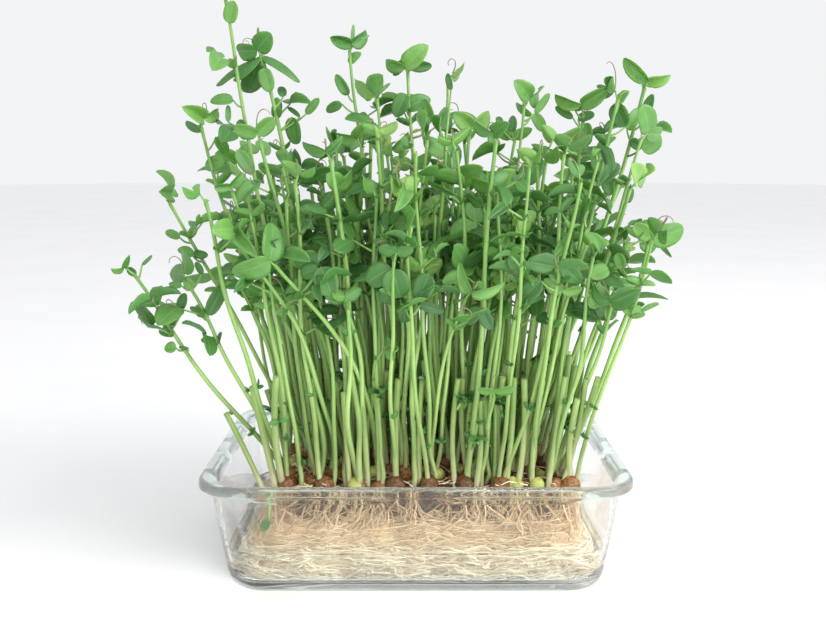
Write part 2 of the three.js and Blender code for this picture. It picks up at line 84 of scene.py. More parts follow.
def at_picture(x, y, depth):
    """The place in millimetres that shows at a point of the photograph, at a given distance along Y."""
    across = (x - PICTURE_WIDE / 2) / FOCAL_PIXELS
    above = (PICTURE_HIGH / 2 - y) / FOCAL_PIXELS
    ray_y = math.cos(CAMERA_PITCH) + above * math.sin(CAMERA_PITCH)
    ray_z = above * math.cos(CAMERA_PITCH) - math.sin(CAMERA_PITCH)
    far = (depth - CAMERA_PLACE[1]) / ray_y
    return np.array([CAMERA_PLACE[0] + far * across, depth, CAMERA_PLACE[2] + far * ray_z])


print("the rim's front middle shows at height", at_picture(413, 490, -74)[2].round(1))

# %% [markdown]
# ## Chance that repeats
# Plants look natural only if no two are alike, yet every run must give the same tray.
# A small hash turns whole numbers, such as a plant's and a leaf's, into a fraction.
# It gives the same answer in any order and in any language, which a running generator wouldn't.


# %% A repeatable fraction, and plain vector helpers
HASH_START, HASH_STEP, HASH_STIR, HASH_FULL = 2166136261, 16777619, 2246822519, 0xFFFFFFFF


def chance(*keys):
    """A fraction from 0 to 1 that hangs on the keys alone. One key, a bare number, only names the throw."""
    h = HASH_START
    for key in keys:
        h = ((h ^ (key + 1)) * HASH_STEP) & HASH_FULL
        h = h ^ (h >> 13)
        h = (h * HASH_STIR) & HASH_FULL
        h = h ^ (h >> 16)
    return h / (HASH_FULL + 1)


def between(low, high, *keys):
    return low + (high - low) * chance(*keys)


def any_way(*keys):
    """An angle anywhere round a full turn."""
    return 2 * math.pi * chance(*keys)


def arrow(*parts):
    return np.array(parts, float)


def level(angle, rise=0.0):
    """An arrow that points level at an angle, or up a little."""
    return arrow(math.cos(angle), math.sin(angle), rise)


def unit(a):
    return a / np.linalg.norm(a)


def fan(count, start=0.0):
    """Angles that share a full turn evenly."""
    return start + np.arange(count) * 2 * math.pi / count


print("three throws for plant 7:", [round(chance(7, n), 3) for n in range(3)])

# %% [markdown]
# ## Mesh bundles
# Thousands of stems, leaflets and root strands would be far too slow as separate objects.
# A bundle gathers them as number arrays and makes one mesh of them all.
# Each point also carries a "grain": how far along its strand or leaf it is, how far across, and a tone.
# The materials read the grain, so that veins and paling follow each leaf without any unwrapping.


# %% A bundle that gathers closed skins
METRES = 0.001


class Bundle:
    def __init__(self):
        self.points, self.grains, self.quads, self.tris = [], [], [], []
        self.count = 0

    def skin(self, rings, grain):
        """Rings of points, n by m by 3, closed round m and capped at both ends."""
        n, m = rings.shape[:2]
        index = self.count + np.arange(n * m).reshape(n, m)
        after = np.roll(index, -1, axis=1)
        quads = np.stack([index[:-1], after[:-1], after[1:], index[1:]], axis=-1)
        self.quads.append(quads.reshape(-1, 4))
        spokes = np.arange(1, m - 1)
        first, last = index[0], index[-1]
        low = np.stack([np.full(m - 2, first[0]), first[spokes + 1], first[spokes]], -1)
        high = np.stack([np.full(m - 2, last[0]), last[spokes], last[spokes + 1]], -1)
        self.tris += [low, high]
        self.points.append(rings.reshape(-1, 3))
        self.grains.append(grain.reshape(-1, 3))
        self.count += n * m

    def make(self, name, material):
        """One smooth mesh of all that was gathered, in metres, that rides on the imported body."""
        points = np.concatenate(self.points) * METRES
        quads = np.concatenate(self.quads)
        tris = np.concatenate(self.tris)
        grains = np.concatenate(self.grains)
        corner_points = np.concatenate([quads.ravel(), tris.ravel()])
        sizes = np.concatenate([np.full(len(quads), 4), np.full(len(tris), 3)])
        mesh = bpy.data.meshes.new(name)
        mesh.vertices.add(len(points))
        mesh.vertices.foreach_set("co", points.astype(np.float32).ravel())
        mesh.loops.add(len(corner_points))
        mesh.loops.foreach_set("vertex_index", corner_points.astype(np.int32))
        mesh.polygons.add(len(sizes))
        mesh.polygons.foreach_set("loop_start", (np.cumsum(sizes) - sizes).astype(np.int32))
        mesh.update(calc_edges=True)
        mesh.attributes.new("grain", "FLOAT_VECTOR", "POINT")
        mesh.attributes["grain"].data.foreach_set("vector", grains.astype(np.float32).ravel())
        mesh.polygons.foreach_set("use_smooth", np.full(len(sizes), True))
        mesh.validate()
        piece = bpy.data.objects.new(name, mesh)
        bpy.context.scene.collection.objects.link(piece)
        mesh.materials.append(material)
        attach(piece, "root")
        print(name, "has", 2 * len(quads) + len(tris), "triangles")
        return piece


# %% A round tube along a path
def along_path(path, radii, sides):
    """Rings round the points of a path, kept from twisting by carrying one side vector along it."""
    ahead = np.gradient(path, axis=0)
    ahead /= np.linalg.norm(ahead, axis=1, keepdims=True)
    side = np.cross(ahead[0], arrow(0.3, 1, 0.2))
    rings = []
    angles = fan(sides)
    for point, direction, radius in zip(path, ahead, radii):
        side = side - direction * side.dot(direction)
        side /= np.linalg.norm(side)
        third = np.cross(direction, side)
        ring = np.outer(np.cos(angles), side) + np.outer(np.sin(angles), third)
        rings.append(point + radius * ring)
    return np.array(rings)


def tube_grain(count, sides, tone, start=0.0, end=1.0):
    grain = np.zeros((count, sides, 3))
    grain[..., 0] = np.linspace(start, end, count)[:, None]
    grain[..., 1] = np.linspace(-1, 1, sides)
    grain[..., 2] = tone
    return grain


# %% [markdown]
# ## Finishes
# Every finish is a small node graph on a Principled shader.
# A helper keeps the graphs short: it adds a node, sets its inputs and returns it.
# Values that are the same all over go straight on the shader's sockets.


# %% Helpers for node graphs
def finish(name, roughness, **sockets):
    material = bpy.data.materials.new(name)
    material.use_nodes = True
    shader = material.node_tree.nodes["Principled BSDF"]
    shader.inputs["Roughness"].default_value = roughness
    for socket, value in sockets.items():
        shader.inputs[socket.replace("_", " ")].default_value = value
    return material, shader


def node(material, kind, inputs=None, **settings):
    made = material.node_tree.nodes.new(kind)
    for key, value in settings.items():
        setattr(made, key, value)
    for key, value in (inputs or {}).items():
        if isinstance(value, bpy.types.NodeSocket):
            material.node_tree.links.new(value, made.inputs[key])
        else:
            made.inputs[key].default_value = value
    return made


def colour(red, green, blue):
    """A colour as picked from a screen, 0 to 255, turned to the linear values that shaders take."""
    steps = [c / 255 for c in (red, green, blue)]
    return tuple(c / 12.92 if c < 0.04045 else ((c + 0.055) / 1.055) ** 2.4 for c in steps) + (1.0,)


def ramp(material, factor, stops):
    made = node(material, "ShaderNodeValToRGB", {"Fac": factor})
    while len(made.color_ramp.elements) < len(stops):
        made.color_ramp.elements.new(0.5)
    for element, (place, shade) in zip(made.color_ramp.elements, stops):
        element.position = place
        element.color = shade
    return made.outputs["Color"]


def blend(material, factor, first, second, kind="MIX"):
    made = node(material, "ShaderNodeMix", data_type="RGBA", blend_type=kind)
    links = material.node_tree.links
    for index, value in ((0, factor), (6, first), (7, second)):
        if isinstance(value, bpy.types.NodeSocket):
            links.new(value, made.inputs[index])
        else:
            made.inputs[index].default_value = value
    return made.outputs[2]


def calc(material, operation, first, second=0.0, third=0.0):
    return node(material, "ShaderNodeMath", {0: first, 1: second, 2: third}, operation=operation).outputs[0]


def paint(material, shader, body):
    material.node_tree.links.new(body, shader.inputs["Base Color"])


def grain_parts(material):
    """The grain's way along, its way across and its tone."""
    grain = node(material, "ShaderNodeAttribute", attribute_name="grain")
    parts = node(material, "ShaderNodeSeparateXYZ", {0: grain.outputs["Vector"]})
    return parts.outputs[0], parts.outputs[1], parts.outputs[2]


def speckle(material, scale, detail=3.0, roughness=0.55):
    place = node(material, "ShaderNodeTexCoord").outputs["Object"]
    inputs = {"Vector": place, "Scale": scale, "Detail": detail, "Roughness": roughness}
    return node(material, "ShaderNodeTexNoise", inputs).outputs["Fac"]


def tinted(material, body, factor, low, dark, high, light, share=1.0):
    """A colour multiplied by a tint that goes from dark to light between two values of the factor."""
    tints = ramp(material, factor, [(low, (*dark, 1)), (high, (*light, 1))])
    return blend(material, share, body, tints, "MULTIPLY")


def bump(material, shader, height, distance, strength=1.0):
    made = node(material, "ShaderNodeBump", {"Height": height, "Distance": distance, "Strength": strength})
    material.node_tree.links.new(made.outputs["Normal"], shader.inputs["Normal"])


# %% [markdown]
# ### Leaf green
# A leaflet is a soft mid green, darker on old leaves and yellower on young ones.
# Its rib and side veins are paler lines, and they come from the grain.
# The rib is where the way across is near nought.
# The side veins are slanting stripes that run to the edge.


# %% Leaf finish
RIB_SHARPNESS, RIB_STRENGTH = 16.0, 0.5
VEIN_SLANT, VEIN_COUNT, VEIN_THINNESS, VEIN_STRENGTH = 0.42, 38.0, 0.35, 0.42


def leaf_finish():
    material, shader = finish("leaf_green", 0.44, Subsurface_Weight=0.2, Subsurface_Scale=0.0015)
    shader.inputs["Subsurface Radius"].default_value = (0.7, 1.0, 0.3)
    along, across, tone = grain_parts(material)
    greens = [
        (0.0, colour(46, 96, 48)),
        (0.4, colour(70, 128, 58)),
        (0.75, colour(104, 158, 76)),
        (1.0, colour(150, 192, 100)),
    ]
    body = ramp(material, tone, greens)
    body = tinted(material, body, speckle(material, 220), 0.3, (0.82, 0.86, 0.82), 0.7, (1.12, 1.08, 1.06))

    def work(operation, first, second=0.0):
        return calc(material, operation, first, second)

    aside = work("ABSOLUTE", across)
    rib = work("MAXIMUM", work("SUBTRACT", 1.0, work("MULTIPLY", aside, RIB_SHARPNESS)), 0.0)
    slant = work("MULTIPLY", work("SUBTRACT", along, work("MULTIPLY", aside, VEIN_SLANT)), VEIN_COUNT)
    veins = work("POWER", work("ABSOLUTE", work("SINE", slant)), VEIN_THINNESS)
    veins = work("MULTIPLY", work("SUBTRACT", 1.0, veins), VEIN_STRENGTH)
    lines = work("MINIMUM", work("ADD", work("MULTIPLY", rib, RIB_STRENGTH), veins), 1.0)
    pale = blend(material, 0.5, body, colour(176, 212, 140))
    body = blend(material, lines, body, pale)
    paint(material, shader, body)
    bump(material, shader, lines, 0.00012, 0.5)
    return material


leaf_green = leaf_finish()
print("leaf finish:", len(leaf_green.node_tree.nodes), "nodes")

# %% [markdown]
# ### Stem green
# Stems are nearly white or pinkish where they leave the pea, pale yellow-green for most of their height,
# and a fuller green near the leaves. Fine lines run along them. The grain's first part is the height.


# %% Stem finish
STEM_LINES = 18.0


def stem_finish():
    material, shader = finish("stem_green", 0.38, Subsurface_Weight=0.12, Subsurface_Scale=0.0015)
    along, across, tone = grain_parts(material)
    # Low down, darkest at a fifth of the height, the green is deeper than higher up: partly the stem's own
    # colour and partly painted shade of the crowded stems near the base.
    heights = [
        (0.0, colour(214, 204, 178)),
        (0.05, colour(172, 184, 128)),
        (0.2, colour(140, 168, 97)),
        (0.55, colour(169, 205, 124)),
        (1.0, colour(128, 176, 92)),
    ]
    body = ramp(material, along, heights)
    body = tinted(material, body, tone, 0.0, (0.8, 0.88, 0.78), 1.0, (1.1, 1.06, 1.08))
    lines = calc(material, "SINE", calc(material, "MULTIPLY", across, STEM_LINES))
    lines = calc(material, "MULTIPLY_ADD", lines, 0.5, 0.5)
    body = tinted(material, body, lines, 0.0, (0.9, 0.93, 0.88), 1.0, (1.05, 1.04, 1.04), 0.8)
    body = tinted(material, body, speckle(material, 140), 0.3, (0.88, 0.9, 0.86), 0.7, (1.08, 1.06, 1.06))
    paint(material, shader, body)
    bump(material, shader, lines, 0.00008, 0.5)
    return material


def tendril_finish():
    material, shader = finish("tendril_brown", 0.5)
    along = grain_parts(material)[0]
    browns = [(0.0, colour(136, 160, 92)), (0.5, colour(146, 132, 98)), (1.0, colour(132, 104, 92))]
    body = ramp(material, along, browns)
    body = tinted(material, body, speckle(material, 300), 0.3, (0.85, 0.85, 0.85), 0.7, (1.1, 1.1, 1.1))
    paint(material, shader, body)
    return material


stem_green = stem_finish()
tendril_brown = tendril_finish()
print("stem finish:", len(stem_green.node_tree.nodes), "nodes")

# %% [markdown]
# ### Roots, peas and bed
# Root strands are beige in the air and creamy white in the water, so their tone is a height.
# A seed coat is red-brown with darker freckles and fine wrinkles.
# Where it has split, the pea inside is yellow-green.


# %% Root and pea finishes
def root_finish():
    material, shader = finish("root_strands", 0.55, Subsurface_Weight=0.05, Subsurface_Scale=0.001)
    tone = grain_parts(material)[2]
    # The last, darkest brown serves both the darkest hanging strands and the painted shade on the mat core's
    # top, which stands for the deep gaps between hanging roots.
    creams = [
        (0.0, colour(255, 250, 232)),
        (0.3, colour(253, 239, 212)),
        (0.5, colour(242, 218, 184)),
        (0.75, colour(216, 189, 151)),
        (0.9, colour(154, 128, 97)),
        (1.0, colour(80, 66, 54)),
    ]
    body = ramp(material, tone, creams)
    body = tinted(material, body, speckle(material, 90), 0.3, (0.84, 0.8, 0.74), 0.65, (1.06, 1.05, 1.04))
    paint(material, shader, body)
    bump(material, shader, speckle(material, 900), 0.0001, 0.4)
    return material


def coat_finish():
    material, shader = finish("seed_coat", 0.5)
    tone = grain_parts(material)[2]
    browns = [(0.0, colour(86, 56, 30)), (0.5, colour(126, 84, 46)), (1.0, colour(164, 118, 72))]
    body = ramp(material, tone, browns)
    freckles = speckle(material, 950, 2.0, 0.6)
    body = tinted(material, body, freckles, 0.41, (0.45, 0.41, 0.36), 0.57, (1.36, 1.3, 1.2))
    paint(material, shader, body)
    bump(material, shader, speckle(material, 620), 0.0007, 1.0)
    return material


def split_finish():
    material, shader = finish("split_pea", 0.4, Subsurface_Weight=0.1, Subsurface_Scale=0.002)
    body = ramp(material, speckle(material, 300), [(0.3, colour(148, 160, 74)), (0.7, colour(196, 198, 118))])
    paint(material, shader, body)
    bump(material, shader, speckle(material, 800), 0.0002, 0.4)
    return material


def bed_finish():
    material, shader = finish("bed_tangle", 0.7)
    browns = [(0.3, colour(84, 54, 40)), (0.5, colour(138, 96, 66)), (0.7, colour(206, 170, 126))]
    body = ramp(material, speckle(material, 160, 5.0, 0.7), browns)
    paint(material, shader, body)
    bump(material, shader, speckle(material, 420), 0.001, 0.8)
    return material


root_strands = root_finish()
bed_tangle = bed_finish()
seed_coat = coat_finish()
split_pea = split_finish()
print("root, bed and pea finishes:", [made.name for made in (root_strands, bed_tangle, seed_coat, split_pea)])

# %% [markdown]
# ### Glass and water
# Both bend light, so both are transmissive. Real glass lets light through to what is inside it,
# and a path tracer finds that slowly, so for shadow rays alone the surface is made clear.
# A small share also goes straight through for the eye, which keeps the thick rim as bright as in daylight.
# Thick edges of the glass look green, and a curved edge of water looks dark,
# because light takes a long way there.
# The third part of the grain marks those edges, and a tint of their own stands for the long way.


# %% Clear finishes
def clear_finish(name, tint, index, shadow, straight, edge):
    """Tint, shadow and edge are colours of light let through, and straight is the share that isn't bent."""
    material, shader = finish(name, 0.0, Transmission_Weight=1.0, IOR=index)
    light = tuple(min(1.0, part * 1.02) for part in tint)
    body = ramp(material, speckle(material, 30), [(0.3, (*tint, 1)), (0.7, (*light, 1))])
    body = tinted(material, body, grain_parts(material)[2], 0.55, (1, 1, 1), 0.95, edge)
    paint(material, shader, body)
    tree = material.node_tree
    clear = node(material, "ShaderNodeBsdfTransparent", {"Color": (*shadow, 1)})
    softened = node(material, "ShaderNodeMixShader", {0: straight, 1: shader.outputs[0], 2: clear.outputs[0]})
    rays = node(material, "ShaderNodeLightPath")
    shares = {0: rays.outputs["Is Shadow Ray"], 1: softened.outputs[0], 2: clear.outputs[0]}
    choice = node(material, "ShaderNodeMixShader", shares)
    tree.links.new(choice.outputs[0], tree.nodes["Material Output"].inputs["Surface"])
    return material


tray_glass = clear_finish(
    "tray_glass",
    tint=(0.984, 1.0, 0.992),
    index=1.46,
    shadow=(0.985, 0.995, 0.99),
    straight=0.16,
    edge=(0.8, 0.975, 0.92),
)
still_water = clear_finish(
    "still_water",
    tint=(1.0, 1.0, 0.995),
    index=1.33,
    shadow=(0.995, 0.995, 0.99),
    straight=0.05,
    edge=(0.5, 0.55, 0.44),
)
print("clear finishes:", tray_glass.name, "and", still_water.name)

# %% [markdown]
# ## The glass container
# Pressed glass has no sharp edge anywhere, and its corners are round in plan.
# A stack of rounded rectangles, run up the outside, over the rim and down the inside, gives one closed wall.
# The solids use the same stack with fewer steps, so this one only rounds what is there.


# %% A rounded rectangle, and the wall that leans outwards
def rounded_ring(left, right, front, back, corner, z, steps=14, straight=1):
    """Corner arcs joined by straight sides, each side cut into as many parts as straight says."""
    angles = np.linspace(0, math.pi / 2, steps + 1)
    arcs = []
    for quarter, (side, end) in enumerate(((right, back), (left, back), (left, front), (right, front))):
        x = side - corner if side == right else side + corner
        y = end - corner if end == back else end + corner
        a = angles + quarter * math.pi / 2
        arcs.append(np.stack([x + corner * np.cos(a), y + corner * np.sin(a), np.full_like(a, z)], -1))
    parts = []
    for arc, after in zip(arcs, arcs[1:] + arcs[:1]):
        shares = np.arange(1, straight)[:, None] / straight
        parts += [arc, arc[-1] + (after[0] - arc[-1]) * shares]
    return np.concatenate(parts)


def wall_station(z, inset, corner, ledge=0.0):
    """The leaning wall at a height: half its length, half its width, its corner, the height and the ledge."""
    rise = (z - BODY_LOW_Z) / (BODY_HIGH_Z - BODY_LOW_Z)
    half_x = BODY_LOW_HALF_X + (BODY_HIGH_HALF_X - BODY_LOW_HALF_X) * rise - inset
    return (half_x, half_x - SIDE_DIFFERENCE, corner, z, ledge)


def rim_station(z, inset, corner, ledge=0.0):
    return (RIM_HALF_X - inset, RIM_HALF_Y - inset, RIM_CORNER + corner, z, ledge)


def rounded_profile(stations):
    """Cuts the corners of the profile twice, which turns its bends into curves."""
    stations = np.array(stations, float)
    for _ in range(2):
        a, b = stations[:-1], stations[1:]
        cut = np.stack([0.75 * a + 0.25 * b, 0.25 * a + 0.75 * b], 1).reshape(-1, stations.shape[1])
        stations = np.concatenate([stations[:1], cut, stations[-1:]])
    return stations


# %% [markdown]
# The clip ledges under the rim are part of the same glass, so they can't be separate blocks pushed into it.
# Light would bend twice where two glass skins overlap, and the ledges would look black.
# Instead the wall's own rings swell outwards at the ledges' height, and only along the ledges' length.
# The ledges run into the lower edge of the lip, and stand out a little further than it does.

# %% The container and its clip ledges
LEDGE_SPANS = {"long": (14, 74), "short": (9, 43)}
LEDGE_LOW = LUG_TOP - LUG_HEIGHT
LEDGE_PARTS = 36


def soft_step(x):
    x = np.clip(x, 0, 1)
    return x * x * (3 - 2 * x)


def along_ledge(distance, span, ease=2.6):
    near, far = LEDGE_SPANS[span]
    return soft_step((np.abs(distance) - near) / ease) * soft_step((far - np.abs(distance)) / ease)


def profile_ring(half_x, half_y, corner, z, ledge=0.0, straight=LEDGE_PARTS):
    """One ring of the wall. Ledge says how much of the clip ledges stands out at this height."""
    ring = rounded_ring(-half_x, half_x, -half_y, half_y, corner, z, straight=straight)
    if ledge > 0:
        x, y = ring[:, 0].copy(), ring[:, 1].copy()
        long_side = np.abs(y) > half_y - 1e-6
        short_side = np.abs(x) > half_x - 1e-6
        swell = ledge * along_ledge(x, "long") * (LUG_REACH - SIDE_DIFFERENCE + 0.9 - half_y)
        ring[:, 1] = np.where(long_side, y + np.sign(y) * swell, y)
        swell = ledge * along_ledge(y, "short") * (LUG_REACH - half_x)
        ring[:, 0] = np.where(short_side, x + np.sign(x) * swell, x)
    return ring


lip_low = RIM_TOP - LIP_HEIGHT
outside = rounded_profile(
    [
        (FOOT_HALF_X, FOOT_HALF_Y, 17, 0, 0),
        (BODY_LOW_HALF_X - 2, BODY_LOW_HALF_X - 2 - SIDE_DIFFERENCE, 19, 0.6, 0),
        wall_station(BODY_LOW_Z, 0, 21),
        wall_station(12, 0, 21.5),
        wall_station(BODY_HIGH_Z - 1, 0, 23),
        wall_station(LEDGE_LOW - 0.15, 0, 23),
        wall_station(LEDGE_LOW + 0.1, 0, 23, 0.9),
        wall_station(LEDGE_LOW + 0.8, 0, 23, 1),
        rim_station(lip_low - 0.8, NECK_INSET, 1.5, 1),
        rim_station(lip_low, 0.9, -0.5, 1),
        rim_station(LUG_TOP - 0.2, 0, 0, 1),
        rim_station(LUG_TOP + 0.3, 0, 0),
        rim_station(RIM_TOP - 1.6, 0, 0),
        rim_station(RIM_TOP - 0.2, 0.8, -0.6),
        rim_station(RIM_TOP, 2.6, -1.6),
        rim_station(RIM_TOP - 0.9, LIP_WIDTH, -3.6),
        wall_station(RIM_TOP - 4.5, WALL + 0.5, 20.5),
        wall_station(30, WALL, 19),
        wall_station(10, WALL, 17),
        wall_station(4.6, WALL + 1.6, 15),
        wall_station(FLOOR_TOP, WALL + 6.5, 11),
    ]
)
tray = Bundle()
tray_rings = np.array([profile_ring(*station) for station in outside])
tray_grain = tube_grain(*tray_rings.shape[:2], 0.5)
tray_heights = tray_rings[..., 2]
foot_edge = (tray_heights > 0.2) & (tray_heights < 2.5)
tray_grain[..., 2] = np.where((tray_heights > lip_low) | foot_edge, 1.0, 0.5)
tray.skin(tray_rings, tray_grain)
glass = tray.make("tray_of_glass", tray_glass)
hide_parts("glass_container")

# %% [markdown]
# ## Water
# The water meets the glass with no air between them, and climbs it a little at the edge.
# Its skin is one closed form up to the waterline, and the roots simply stand in it.
# The three rings of the climbing edge get the tint that stands for light's long way.

# %% The body of water
MENISCUS_RINGS = slice(4, 7)
water_profile = [
    wall_station(FLOOR_TOP + GAP - 0.3, WALL + 6.7, 11),
    wall_station(4.9, WALL + 1.6, 15),
    wall_station(10, WALL + 0.1, 17),
    wall_station(WATER_TOP - 0.9, WALL + 0.1, 18),
    wall_station(WATER_TOP - 0.3, WALL + 0.1, 18),
    wall_station(WATER_TOP, WALL + 0.3, 18),
    wall_station(WATER_TOP - 0.8, WALL + 0.9, 17.5),
    wall_station(WATER_TOP - 1.25, WALL + 1.9, 16.8),
    wall_station(WATER_TOP - 1.4, WALL + 3.4, 16),
]
pool = Bundle()
pool_rings = np.array([profile_ring(*station, straight=1) for station in water_profile])
pool_grain = tube_grain(*pool_rings.shape[:2], 0.5)
pool_grain[MENISCUS_RINGS, :, 2] = 1.0
pool.skin(pool_rings, pool_grain)
water = pool.make("water_in_tray", still_water)
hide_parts("water")

# %% [markdown]
# ## Where the plants stand
# The peas lie in rows and columns that are a little out of line, and each carries shoots and stubs.
# This is the same rule that placed the solids.
# A solid kept only the shoots, leaves and stubs that stayed clear of their neighbours.
# So each one is looked up: it is there if a point at its end is a corner of the plant's solid.


# %% Sites of the peas
def plant_sites():
    sites = []
    for row in range(ROWS):
        for column in range(COLUMNS):
            n = len(sites)
            stagger = 0.16 if row % 2 else -0.16
            x = BED_LEFT + EDGE + (column + 0.5 + stagger + between(-0.12, 0.12, n, 1)) * SITE_WIDE
            y = BED_FRONT + EDGE + (row + 0.5 + between(-0.12, 0.12, n, 2)) * SITE_DEEP
            sites.append((x + CORNER_SHIFTS.get(n, 0), y))
    return sites


# For each shoot that the photograph shows singly: its foot, its tip, and how far it bows aside and back
SINGLE_SHOOTS = [
    ((-66, -54), (-129, -62, 155), (-9, 0)),
    ((-66, -40), (-108, -50, 150), (-3, 0)),
    ((-62, -28), (-114, -46, 186), (-6, 0)),
    ((-58, -8), (-108, -6, 222), (-4, 0)),
    ((-60, 8), (-94, -10, 284), (-6, 2)),
    ((-44, 6), (-78, 2, 258), (-4, 0)),
    ((-24, 20), (-34, 20, 262), (3, 0)),
    ((-12, -10), (-19, -12, 236), (-3, 0)),
    ((2, 8), (-3, 10, 250), (2, 0)),
    ((16, 22), (16, 24, 246), (3, 0)),
    ((44, 10), (55, 10, 233), (-2, 0)),
    ((60, 8), (86, 8, 229), (3, 0)),
    ((70, -4), (101, -2, 236), (5, 0)),
    ((72, 14), (118, 6, 242), (6, 0)),
    ((66, -22), (112, -16, 216), (4, 0)),
    ((70, 34), (112, 34, 190), (5, 0)),
    ((68, -40), (112, -38, 166), (5, 0)),
    ((72, -54), (90, -64, 140), (2, 0)),
    ((-20, -56), (-62, -72, 160), (10, 0)),
    ((-46, -56), (-80, -74, 172), (8, 0)),
    ((-22, -54), (-16, -64, 114), (-2, 0)),
    ((32, -54), (35, -64, 98), (2, 0)),
    ((64, 48), (92, 62, 205), (4, 2)),
    ((-50, 46), (-86, 60, 208), (-4, 2)),
]
STEM_PLACES = [0, 2, 4, 1, 3]
CROWDING = 9


def nearest_site(sites, foot, taken):
    """The nearest pea, where each stem that a pea already has counts as some distance more."""
    far = [math.hypot(x - foot[0], y - foot[1]) + CROWDING * taken[n] for n, (x, y) in enumerate(sites)]
    return int(np.argmin(far))


def stem_root(site, plant, index):
    """Where one of a pea's stems leaves it, on a small circle with five places."""
    way = 2 * math.pi * (chance(plant, 12) + STEM_PLACES[index] / len(STEM_PLACES))
    return (site[0] + 2.5 * math.cos(way), site[1] + 2.5 * math.sin(way), PEA_CENTRE + 1.2)


# %% The plan of all shoots
SITE_REACH, LOOSE_REACH = (68, 50), (72, 54)
LEAN_CURVE, SWAY = 1.25, 1.1


def outwards(x, y, reach=SITE_REACH):
    """How far out a place lies from the bed's middle, aside and back, with about 1 at the outermost peas."""
    return (x - BED_X) / reach[0], (y - BED_Y) / reach[1]


def shoot_plan(sites):
    """The single shoots first, then one or two more for each pea, which lean outwards like a fan."""
    taken = [0] * len(sites)
    plan = []
    for foot, tip, bow in SINGLE_SHOOTS:
        plant = nearest_site(sites, foot, taken)
        plan.append(dict(plant=plant, number=taken[plant], single=True, tip=tip, bow=bow))
        taken[plant] += 1
    for turn in range(2):
        for plant, (x, y) in enumerate(sites):
            if taken[plant] > turn or (turn == 1 and chance(plant, 3) > 0.5):
                continue
            number = taken[plant]
            keys = (plant, number)
            u, v = outwards(x, y)
            tip = (
                x + LEAN_SIDE * u + between(-11, 11, *keys, 4),
                y + (LEAN_BACK if v > 0 else LEAN_FRONT) * v + between(-10, 10, *keys, 5),
                between(150, 222, *keys, 6) - 14 * (u * u + v * v) * chance(*keys, 7),
            )
            bow = (between(-5, 5, *keys, 8), between(-4, 4, *keys, 9))
            plan.append(dict(plant=plant, number=number, single=False, tip=tip, bow=bow))
            taken[plant] += 1
    return plan


def shoot_at(shoot, share):
    """Where a shoot passes at a share of its height, for one share or an array of them."""
    share = np.asarray(share, float)
    root, tip = shoot["root"], shoot["tip"]
    lean = np.maximum(share, 0) ** LEAN_CURVE
    belly = np.sin(math.pi * share)
    sway = SWAY * np.sin(3 * math.pi * share + shoot["plant"])
    x = root[0] + (tip[0] - root[0]) * lean + shoot["bow"][0] * belly + sway * share
    y = root[1] + (tip[1] - root[1]) * lean + shoot["bow"][1] * belly
    z = root[2] + (tip[2] - root[2]) * share
    return np.stack([x, y, z], axis=-1)


def name_of(shoot):
    """The two whole numbers that tell a shoot or a stub from all others: its plant's and its own."""
    return shoot["plant"], shoot["number"]


# %% Look each shoot up in the solids
SAME_PLACE = 0.02
PLANT_NODES = ["plant_%02d" % (n + 1) for n in range(COLUMNS * ROWS)]
corners = []
for node_name in PLANT_NODES:
    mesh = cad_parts[node_name].data
    flat = np.zeros(len(mesh.vertices) * 3)
    mesh.vertices.foreach_get("co", flat)
    corners.append(flat.reshape(-1, 3) / METRES)


def stands(plant, points):
    """Whether any of the points is a corner of the plant's solid."""
    return any(np.abs(corners[plant] - point).max(axis=1).min() < SAME_PLACE for point in points)


def cut_corners(end, ahead, radius, turn):
    """The three corners of a solid stem's cut end, made as the solids make them."""
    across = unit(np.cross(arrow(0, 1, 0), ahead))
    third = np.cross(ahead, across)
    return [end + radius * (across * math.cos(a) + third * math.sin(a)) for a in fan(3, turn)]


def shoot_corners(shoot):
    below, top = shoot_at(shoot, np.array([0.76, 1.0]))
    return cut_corners(top, unit(top - below), STEM_HIGH * 1.35, 2 * chance(*name_of(shoot), 10))


SPIRAL = 2.4
sites = plant_sites()
shoots = []
for shoot in shoot_plan(sites):
    x, y, z = shoot["tip"]
    shoot["root"] = stem_root(sites[shoot["plant"]], *name_of(shoot))
    for turn in range(TURNS):
        shift = (2.6 if shoot["single"] else 5) * math.sqrt(turn)
        shoot["tip"] = (x + shift * math.cos(turn * SPIRAL), y + shift * math.sin(turn * SPIRAL), z)
        if stands(shoot["plant"], shoot_corners(shoot)):
            shoots.append(shoot)
            break
print("shoots found in the solids:", len(shoots))

# %% [markdown]
# ## Leaves of the solids
# Each leaf is a stalk with two leaflets that part at its end.


# %% The plan of a leaf
LEAF_STEP = 0.15


